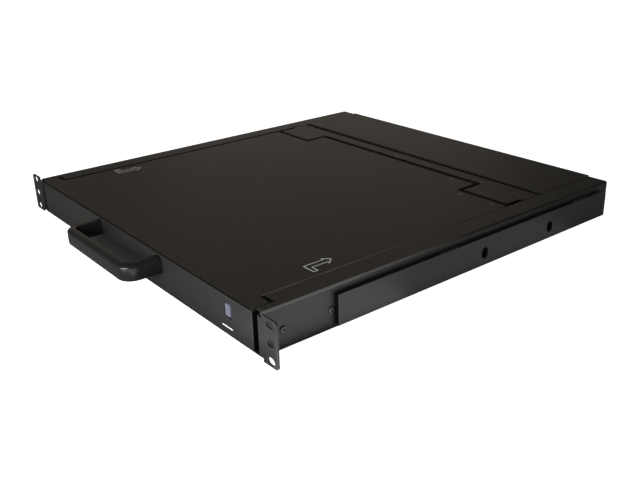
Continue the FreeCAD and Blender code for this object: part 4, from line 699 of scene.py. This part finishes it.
def make_handle():
    """The bail as one skin: two straight legs, two round corners and the bar between them."""
    low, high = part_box("drawer_handle")
    rear, front, half = high.y, low.y, high.x
    turn_y = front + BAIL_CORNER
    inner_round = BAIL_CORNER - BAIL_BAR
    stations = []
    for y in (rear, rear - BAIL_END_RING, (rear + turn_y) / 2):
        stations.append((Vector((BAIL_LEG - half, y, 0)), Vector((-half, y, 0))))
    for step in range(BAIL_STEPS + 1):
        angle = math.pi / 2 * step / BAIL_STEPS
        turn = Vector((-math.cos(angle), -math.sin(angle), 0))
        inner_centre = Vector((BAIL_LEG + inner_round - half, turn_y, 0))
        outer_centre = Vector((BAIL_CORNER - half, turn_y, 0))
        stations.append((inner_centre + turn * inner_round, outer_centre + turn * BAIL_CORNER))
    stations += [tuple(Vector((-p.x, p.y, 0)) for p in pair) for pair in reversed(stations)]
    build = Build()
    build.rings([bail_ring(inner, outer, low.z, high.z) for inner, outer in stations])
    bail = build.make("drawer_bail", "handle_black", "drawer")
    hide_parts("drawer_handle")


# ---------------------------------------------------------------- release button
BUTTON_PAD_INSET = (1.15 * MM, 1.1 * MM)
BUTTON_PAD_SHIFT = 0.5 * MM  # the pad sits left of the button's middle, which widens the painted shade on its right
BUTTON_DISH = 0.15 * MM
BUTTON_FACE_DROP = 0.05 * MM
SKIRT_CORNER = 0.7 * MM
SKIRT_SINK = 0.2 * MM        # behind the front of the button's cap
SKIRT_RIM = 0.05 * MM        # in front of it
SKIRT_TOP_DROP = 0.25 * MM   # behind the pad's face
SKIRT_LIP = 0.3 * MM         # inwards, under the pad
SKIRT_LIP_DROP = 0.5 * MM
PAD_CORNER = 0.6 * MM
PAD_PROFILE = (              # inset from the pad's outline, drop behind its face
    (0.05 * MM, 0.45 * MM),
    (0.05 * MM, 0.1 * MM),
    (0.15 * MM, 0.0),
    (0.6 * MM, BUTTON_DISH / 2),
    (1.6 * MM, BUTTON_DISH),
)
FRONT_PLANE = 1e-5           # points this near to a node's foremost plane lie on it


def front_face_box(node):
    """Box of the vertices on a node's foremost plane."""
    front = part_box(node)[0].y
    points = [v.co for v in nodes[node].data.vertices if v.co.y < front + FRONT_PLANE]
    low = Vector([min(point[axis] for point in points) for axis in range(3)])
    high = Vector([max(point[axis] for point in points) for axis in range(3)])
    return low, high


def upright(points, y):
    """Turns a ring drawn in plan upright, to face the front; its height becomes a reach forwards."""
    return [Vector((point.x, y - point.z, point.y)) for point in points]


def make_button_face():
    """A dark skirt, painted shade of the button's sloping sides, that slopes up to a raised pale pad, in
    front of the button's cap.
    """
    low, high = front_face_box("release_button")
    centre = Vector(((low.x + high.x) / 2, (low.z + high.z) / 2))
    half = Vector(((high.x - low.x) / 2, (high.z - low.z) / 2))
    pad_half = half - Vector(BUTTON_PAD_INSET)
    pad_centre = centre - Vector((BUTTON_PAD_SHIFT, 0))
    rise = low.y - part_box("front_bezel")[0].y - BUTTON_FACE_DROP
    skirt_rings = []
    for middle, size, height in (
        (centre, half, -SKIRT_SINK),
        (centre, half, SKIRT_RIM),
        (pad_centre, pad_half, rise - SKIRT_TOP_DROP),
        (pad_centre, pad_half - Vector((SKIRT_LIP, SKIRT_LIP)), rise - SKIRT_LIP_DROP),
    ):
        skirt_rings.append(upright(ring_of(middle, *size, SKIRT_CORNER, height), low.y))
    pad_rings = []
    for inset, drop in PAD_PROFILE:
        size = pad_half - Vector((inset, inset))
        pad_rings.append(upright(ring_of(pad_centre, *size, PAD_CORNER, rise - drop), low.y))
    for name, rings, material in (("skirt", skirt_rings, "button_blue"), ("pad", pad_rings, "button_pad")):
        build = Build()
        build.rings(rings)
        piece = build.make(f"release_button_{name}", material, "release_button", smooth=False)


# ---------------------------------------------------------------- printed marks
INK_RISE = 0.05 * MM
INK_SINK = 0.03 * MM
STROKE = 1.0 * MM
MITRE_LIMIT = 0.3            # keeps a sharp corner's mitre from running away
# Bent arrow on the lid beside its front corner, on the right: x and y in millimetres
ARROW_OUTLINE = (
    (174, 76), (188, 76), (188, 80.5), (180, 80.5), (180, 97.5),
    (182.5, 97.5), (177, 104), (171.5, 97.5), (174, 97.5),
)
BAR_HALF_LENGTH = 7.8 * MM
BAR_HALF_HEIGHT = 0.65 * MM
BAR_DROP = 16.0 * MM         # below the button's middle
BAR_SHIFT = 2.4 * MM         # left of the button's middle


def offset_loop(loop, distance):
    """The loop moved outwards by a distance, with mitred corners; the loop runs anticlockwise."""
    moved = []
    for index, point in enumerate(loop):
        before, after = loop[index - 1], loop[(index + 1) % len(loop)]
        first = (point - before).normalized()
        second = (after - point).normalized()
        first_out, second_out = Vector((first.y, -first.x)), Vector((second.y, -second.x))
        mitre = (first_out + second_out).normalized()
        moved.append(point + mitre * distance / max(MITRE_LIMIT, mitre.dot(first_out)))
    return moved


def band(build, loop, width, low, high):
    """A thin closed band along a loop, with its inner and outer walls."""
    outer, inner = offset_loop(loop, width / 2), offset_loop(loop, -width / 2)
    rings = [
        [Vector((*point, z)) for point in ring]
        for ring, z in ((outer, low), (outer, high), (inner, high), (inner, low), (outer, low))
    ]
    build.rings(rings, (False, False))


def make_marks():
    """The two bent arrows on the lid and the bar under the release button."""
    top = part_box("display_back_cover")[1].z
    arrows = Build()
    right = [Vector(point) * MM for point in ARROW_OUTLINE]
    left = [Vector((-point.x, point.y)) for point in reversed(right)]
    for outline in (right, left):
        band(arrows, outline, STROKE, top - INK_SINK, top + INK_RISE)
    arrows.make("lid_arrows", "print_white", "display", smooth=False)
    low, high = front_face_box("release_button")
    middle = (low + high) / 2
    bar = Build()
    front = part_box("front_bezel")[0].y
    centre = (middle.x - BAR_SHIFT, middle.z - BAR_DROP)
    rings = []
    for height in (-INK_SINK, INK_RISE):
        ring = ring_of(centre, BAR_HALF_LENGTH, BAR_HALF_HEIGHT, BAR_HALF_HEIGHT, height)
        rings.append(upright(ring, front))
    bar.rings(rings)
    bar.make("bezel_underline", "print_white", "drawer", smooth=False)


# ---------------------------------------------------------------- balls, lenses and screen
BALL_RADIUS = 1.287 * MM
BALL_INSET = 6.0 * MM        # from the ends of a cage
CAGE_HALF_WIDTH = 1.6 * MM
CAGE_HALF_GAUGE = 0.3 * MM
CAGE_CORNER = 1.5 * MM
COLLAR_HALF = 0.75 * MM      # height of half a collar
# Level as a share of that half, radius
COLLAR_PROFILE = ((-1, 1.35 * MM), (-0.35, 1.58 * MM), (0.35, 1.58 * MM), (1, 1.35 * MM))


def sphere_rings(centre, radius, levels=8, sides=16):
    """Rings of a ball from its bottom to its top, without the poles."""
    rings = []
    for level in range(1, levels):
        tilt = math.pi * level / levels - math.pi / 2
        reach, rise = radius * math.cos(tilt), radius * math.sin(tilt)
        rings.append([centre + Vector((reach * x, reach * y, rise)) for x, y in circle(sides)])
    return rings


def make_ball_cages():
    """Each retainer as a strip with rounded ends, with true balls in collars."""
    for node, body in (("ball_cages_outer", "outer_ball_cages"), ("ball_cages_inner", "inner_ball_cages")):
        strips, balls = Build(), Build()
        for low, high in solids_of(node):
            centre = (low + high) / 2
            half_length = (high.y - low.y) / 2
            levels = [centre.z - CAGE_HALF_GAUGE, centre.z + CAGE_HALF_GAUGE]
            strips.rings([ring_of(centre, CAGE_HALF_WIDTH, half_length, CAGE_CORNER, z) for z in levels])
            for end in (-1, 1):
                place = Vector((centre.x, centre.y + end * (half_length - BALL_INSET), centre.z))
                balls.rings(sphere_rings(place, BALL_RADIUS))
                strips.rings([
                    ring_of(place, reach, reach, reach, place.z + level * COLLAR_HALF, 6)
                    for level, reach in COLLAR_PROFILE
                ])
        cage = strips.make(f"{node}_strips", "spring_steel", body, smooth=False)
        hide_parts(node)
        balls.make(f"{node}_balls", "spring_steel", body)


LENS_DOME = 0.3 * MM
LENS_DOME_RINGS = (0.85, 0.6, 0.3)      # shares of a lens's radius


def make_lenses():
    """Indicator lenses with domed tops."""
    build = Build()
    for low, high in solids_of("indicator_lenses"):
        centre = (low + high) / 2
        radius = (high.x - low.x) / 2
        shoulder = high.z - LENS_DOME
        rings = [ring_of(centre, radius, radius, radius, z, 5) for z in (low.z, shoulder)]
        for share in LENS_DOME_RINGS:
            rise = LENS_DOME * math.sqrt(1 - share * share)
            reach = radius * share
            rings.append(ring_of(centre, reach, reach, reach, shoulder + rise, 5))
        build.rings(rings)
    lenses = build.make("lens_domes", "lens_green", "drawer")
    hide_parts("indicator_lenses")


SCREEN_BORDER = 4.0 * MM     # dark frame of the panel that shows inside the window
SCREEN_FILM = 0.12 * MM
SCREEN_FILM_SINK = 0.05 * MM     # into the panel
SCREEN_FILM_CHAMFER = 0.2 * MM
SCREEN_CORNER = 0.8 * MM
WINDOW_LAP = 8.0 * MM        # the panel reaches this far behind the display's frame


def make_screen():
    """The coated film over the panel's active area."""
    low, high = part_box("lcd_panel")
    centre = (low + high) / 2
    inset = WINDOW_LAP + SCREEN_BORDER
    half = [(high[axis] - low[axis]) / 2 - inset for axis in range(2)]
    levels = (
        (low.z - SCREEN_FILM, SCREEN_FILM_CHAMFER),
        (low.z - SCREEN_FILM / 2, 0),
        (low.z + SCREEN_FILM_SINK, 0),
    )
    build = Build()
    build.rings([ring_of(centre, half[0] - cut, half[1] - cut, SCREEN_CORNER, z) for z, cut in levels])
    film = build.make("screen_film", "lcd_film", "display", smooth=False)


# ---------------------------------------------------------------- painted seam shade and bushes
# Painted seam shade: thin dark strips laid over the seams of the lid and the hinge cover, where the gaps
# show dark
SHADE_RISE = 0.12 * MM
SHADE_SINK = 0.05 * MM
SHADE_INSET = 0.2 * MM        # from the ends and sides of a piece
LID_SHADE_DROP = 0.15 * MM    # below the lid's top edge
LID_SHADE_HEIGHT = 1.15 * MM
LID_SHADE_INSET = 0.6 * MM    # from the lid's front corners
LID_SHADE_DEPTH = 0.3 * MM
LID_SIDE = 195.3 * MM        # the lid's side edge, behind its tongue
LID_SIDE_ENDS = (17.5 * MM, 318.2 * MM)
LID_SIDE_SHADE = 2.4 * MM     # along the lid's left edge
TONGUE_SIDE = 208.8 * MM
TONGUE_SHADE = 1.6 * MM       # along the rear edge of the tongue's two ends
LID_REAR_SHADE = 1.4 * MM     # along the lid's stepped rear edge
COVER_SHADE = 2.0 * MM        # along the hinge cover's stepped front edge
COVER_REAR_SHADE = (367.0 * MM, 368.7 * MM)   # front and back of the strip at its rear edge
# Right halves of the two stepped edges, from the middle outwards: x and y in millimetres
LID_REAR_EDGE = ((0, 346.9), (129.9, 346.9), (129.9, 318.6), (195.1, 318.6))
COVER_FRONT_EDGE = ((0, 349.5), (131.2, 349.5), (131.2, 320.0), (191.4, 320.0))


def flat_strip(build, path, level):
    """A thin strip on a level face, between (left, right) points at each station."""
    low, high = level - SHADE_SINK, level + SHADE_RISE
    rings = []
    for left, right in path:
        corners = ((left, low), (right, low), (right, high), (left, high))
        rings.append([Vector((*point, z)) for point, z in corners])
    build.rings(rings)


def stepped_strip(build, edge, width, level):
    """A strip along a stepped edge and its mirror image; a negative width lies in front of the edge."""
    outline = [Vector(point) * MM for point in edge]
    moved = [point + Vector((0, width)) for point in outline]
    for corner in moved[1:-1]:
        corner.x += width
    front, back = (outline, moved) if width > 0 else (moved, outline)
    flat_strip(build, list(zip(front, back)), level)
    front, back = ([Vector((-point.x, point.y)) for point in line] for line in (front, back))
    flat_strip(build, list(zip(back, front)), level)


def make_lid_seam_shade():
    """Painted seam shade: dark strips on the lid's front edge, left side, tongue ends and stepped rear edge.
    """
    low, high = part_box("display_back_cover")
    build = Build()
    top = high.z - LID_SHADE_DROP
    bottom = top - LID_SHADE_HEIGHT
    front, back = low.y - SHADE_SINK, low.y + LID_SHADE_DEPTH
    section = ((front, bottom), (front, top), (back, top), (back, bottom))
    corners = (low.x + LID_SHADE_INSET, high.x - LID_SHADE_INSET)
    build.rings([[Vector((x, y, z)) for y, z in section] for x in corners])
    outer = SHADE_INSET - LID_SIDE
    flat_strip(build, [((outer + LID_SIDE_SHADE, y), (outer, y)) for y in LID_SIDE_ENDS], high.z)
    tongue_rear = LID_SIDE_ENDS[0] - SHADE_INSET
    for ends in ((-TONGUE_SIDE, -LID_SIDE), (LID_SIDE, TONGUE_SIDE)):
        flat_strip(build, [((x, tongue_rear - TONGUE_SHADE), (x, tongue_rear)) for x in ends], high.z)
    stepped_strip(build, LID_REAR_EDGE, -LID_REAR_SHADE, high.z)
    build.make("lid_seam_shade", "trim_black", "display", smooth=False)


def make_cover_seam_shade():
    """Painted seam shade: dark strips on the hinge cover's stepped front edge and its straight rear edge."""
    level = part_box("hinge_cover")[1].z
    build = Build()
    stepped_strip(build, COVER_FRONT_EDGE, COVER_SHADE, level)
    front, back = COVER_REAR_SHADE
    ends = (SHADE_INSET - LID_SIDE, LID_SIDE - SHADE_INSET)
    flat_strip(build, [((x, front), (x, back)) for x in ends], level)
    build.make("hinge_cover_seam_shade", "trim_black", "drawer", smooth=False)


SLEEVE_SLOTS = ((253.1, -3.45), (351.99, -3.45))     # y and z of their middles in millimetres
SLOT_HALF = (2.8 * MM, 4.5 * MM)
LAP = 0.02 * MM              # hides the seam between a bush and the sleeve
BUSH_DEPTH = 1.4 * MM
BUSH_RIM = 1.3 * MM          # around a slot in a side sleeve
BUSH_RISE = 0.25 * MM
BUSH_CHAMFER = 0.1 * MM
BUSH_LINING = 0.35 * MM
BUSH_PROFILE = (             # growth from the slot's outline, reach out of the sleeve's face
    (-LAP, -BUSH_DEPTH),
    (-LAP, LAP),
    (BUSH_RIM, LAP),
    (BUSH_RIM - BUSH_CHAMFER, BUSH_RISE),
    (-BUSH_LINING, BUSH_RISE),
    (-BUSH_LINING, -BUSH_DEPTH),
    (-LAP, -BUSH_DEPTH),
)
SLEEVE_STANDOFF = 4.5 * MM   # of a sleeve's face from the chassis
END_SHADE_RISE = 0.15 * MM      # of the painted shade on a sleeve's front end
END_SHADE_INSET = 0.35 * MM
END_SHADE_FOOT = 1.3 * MM       # above the sleeve's rounded lower fold
END_SHADE_SINK = 0.05 * MM      # into the sleeve and short of the chassis


def slot_bushes(build, face, side):
    """Dark linings with a rim, in the slots of a sleeve."""
    for y, z in SLEEVE_SLOTS:
        rings = []
        for grow, reach in BUSH_PROFILE:
            half = [length + grow for length in SLOT_HALF]
            ring = ring_of((y * MM, z * MM), *half, min(half), 0, 6)
            rings.append([Vector((face + side * reach, point.x, point.y)) for point in ring])
        build.rings(rings, (False, False))


def sleeve_end_shade(build, face, side, low, high):
    """Painted shade on a sleeve's open front end: a dark plate from its foot to its top."""
    inner = face - side * (SLEEVE_STANDOFF - END_SHADE_SINK)
    outer = face - side * END_SHADE_INSET
    front, back = low.y - END_SHADE_RISE, low.y + END_SHADE_SINK
    outline = [(inner, front), (outer, front), (outer, back), (inner, back)]
    if side < 0:
        outline.reverse()
    levels = (low.z + END_SHADE_FOOT, high.z - END_SHADE_INSET)
    build.rings([[Vector((x, y, z)) for x, y in outline] for z in levels])


def make_bushes():
    """Bushes in the slots of the two side sleeves, with painted shade on their front ends."""
    for side, name in ((-1, "left"), (1, "right")):
        low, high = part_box(f"side_sleeve_{name}")
        face = high.x if side > 0 else low.x
        build = Build()
        slot_bushes(build, face, side)
        sleeve_end_shade(build, face, side, low, high)
        build.make(f"sleeve_bushes_and_end_shade_{name}", "trim_black", "chassis", smooth=False)


# ---------------------------------------------------------------- soft edges
def sides(*stems):
    """Names of the left and right nodes of each stem."""
    return [f"{stem}_{side}" for stem in stems for side in ("left", "right")]


EDGE_HIGHLIGHT = ("chassis_shell", *sides("rack_ear"))      # their softened edges get a painted highlight, a lighter coat
SOFT_EDGES = {               # width of the bevel, nodes
    0.45 * MM: (
        "front_bezel", "rear_cover", "display_back_cover", "hinge_cover", "keyboard_deck", "display_frame",
    ),
    0.35 * MM: (
        "chassis_shell", "tray_pan", "touchpad", "usb_connector", "video_connector", "dc_inlet",
        *sides("rack_ear", "side_sleeve", "touchpad_button"),
    ),
    0.2 * MM: (
        "latch_cover", "lid_bumpers",
        *sides("slide_outer", "slide_middle", "slide_inner", "hinge_bracket", "hinge_arm"),
    ),
}
BEVEL_SEGMENTS = 2
FLAT_ANGLE = math.radians(0.5)      # faces that turn less than this become one
SHARP_ANGLE = math.radians(40)      # edges that turn more than this are softened

# Faces that get painted shade or a painted highlight, by the tilt of their normals and by their place
BEZEL_END_DEPTH = 1.0 * MM
BEZEL_END_FACING = 0.9
EAR_FOLD_TILT = 0.1
TOP_FOLD_TILT = 0.2
TOP_FOLD_REACH = 2.0 * MM


def coat_faces(name, material, chosen):
    """Gives a material to the faces of a CAD node that the test picks by normal and centre."""
    node = nodes[name]
    node.data.materials.append(materials[material])
    turn = node.matrix_world.to_3x3()
    for face in node.data.polygons:
        if chosen(turn @ face.normal, node.matrix_world @ face.center):
            face.material_index = len(node.data.materials) - 1


def on_top_fold(normal, at, outer):
    """Whether a face slopes up and outwards, close to its piece's outer side."""
    outwards = normal.x if at.x > 0 else -normal.x
    near_side = abs(abs(at.x) - outer) < TOP_FOLD_REACH
    return normal.z > TOP_FOLD_TILT and outwards > TOP_FOLD_TILT and near_side


def coat_folds():
    """Painted shade on the bezel's ends and the ears' folds, and a painted highlight on outer top folds."""
    bezel_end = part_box("front_bezel")[1].x - BEZEL_END_DEPTH
    coat_faces(
        "front_bezel", "trim_black",
        lambda normal, at: abs(normal.x) > BEZEL_END_FACING and abs(at.x) > bezel_end,
    )
    for name, side in (("rack_ear_left", 1), ("rack_ear_right", -1)):
        coat_faces(
            name, "powder_fold",
            lambda normal, at, side=side: -normal.y > EAR_FOLD_TILT and side * normal.x > EAR_FOLD_TILT,
        )
    # the outer top folds of the chassis and the lid get a painted highlight that fades towards the rear
    for name, outer in (("chassis_shell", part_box("chassis_shell")[1].x), ("display_back_cover", LID_SIDE)):
        coat_faces(name, "powder_painted_highlight", lambda normal, at, outer=outer: on_top_fold(normal, at, outer))


def soften_edges():
    """Breaks the sharp edges of the CAD nodes, with modifiers alone."""
    for width, names in SOFT_EDGES.items():
        for name in names:
            node = nodes[name]
            weld = node.modifiers.new("weld", "WELD")
            weld.merge_threshold = SAME_POINT
            flat = node.modifiers.new("flat", "DECIMATE")
            flat.decimate_type = "DISSOLVE"
            flat.angle_limit = FLAT_ANGLE
            bevel = node.modifiers.new("soft_edges", "BEVEL")
            bevel.width = width
            bevel.segments = BEVEL_SEGMENTS
            bevel.limit_method = "ANGLE"
            bevel.angle_limit = SHARP_ANGLE
            bevel.harden_normals = True
            # the bevel faces of these nodes get a painted highlight: a lighter coat than the rest
            if name in EDGE_HIGHLIGHT:
                node.data.materials.append(materials["powder_edge_highlight"])
                bevel.material = len(node.data.materials) - 1


make_keys()
make_screws()
make_handle()
make_button_face()
make_marks()
make_ball_cages()
make_lenses()
make_screen()
make_lid_seam_shade()
make_cover_seam_shade()
make_bushes()
coat_folds()
soften_edges()
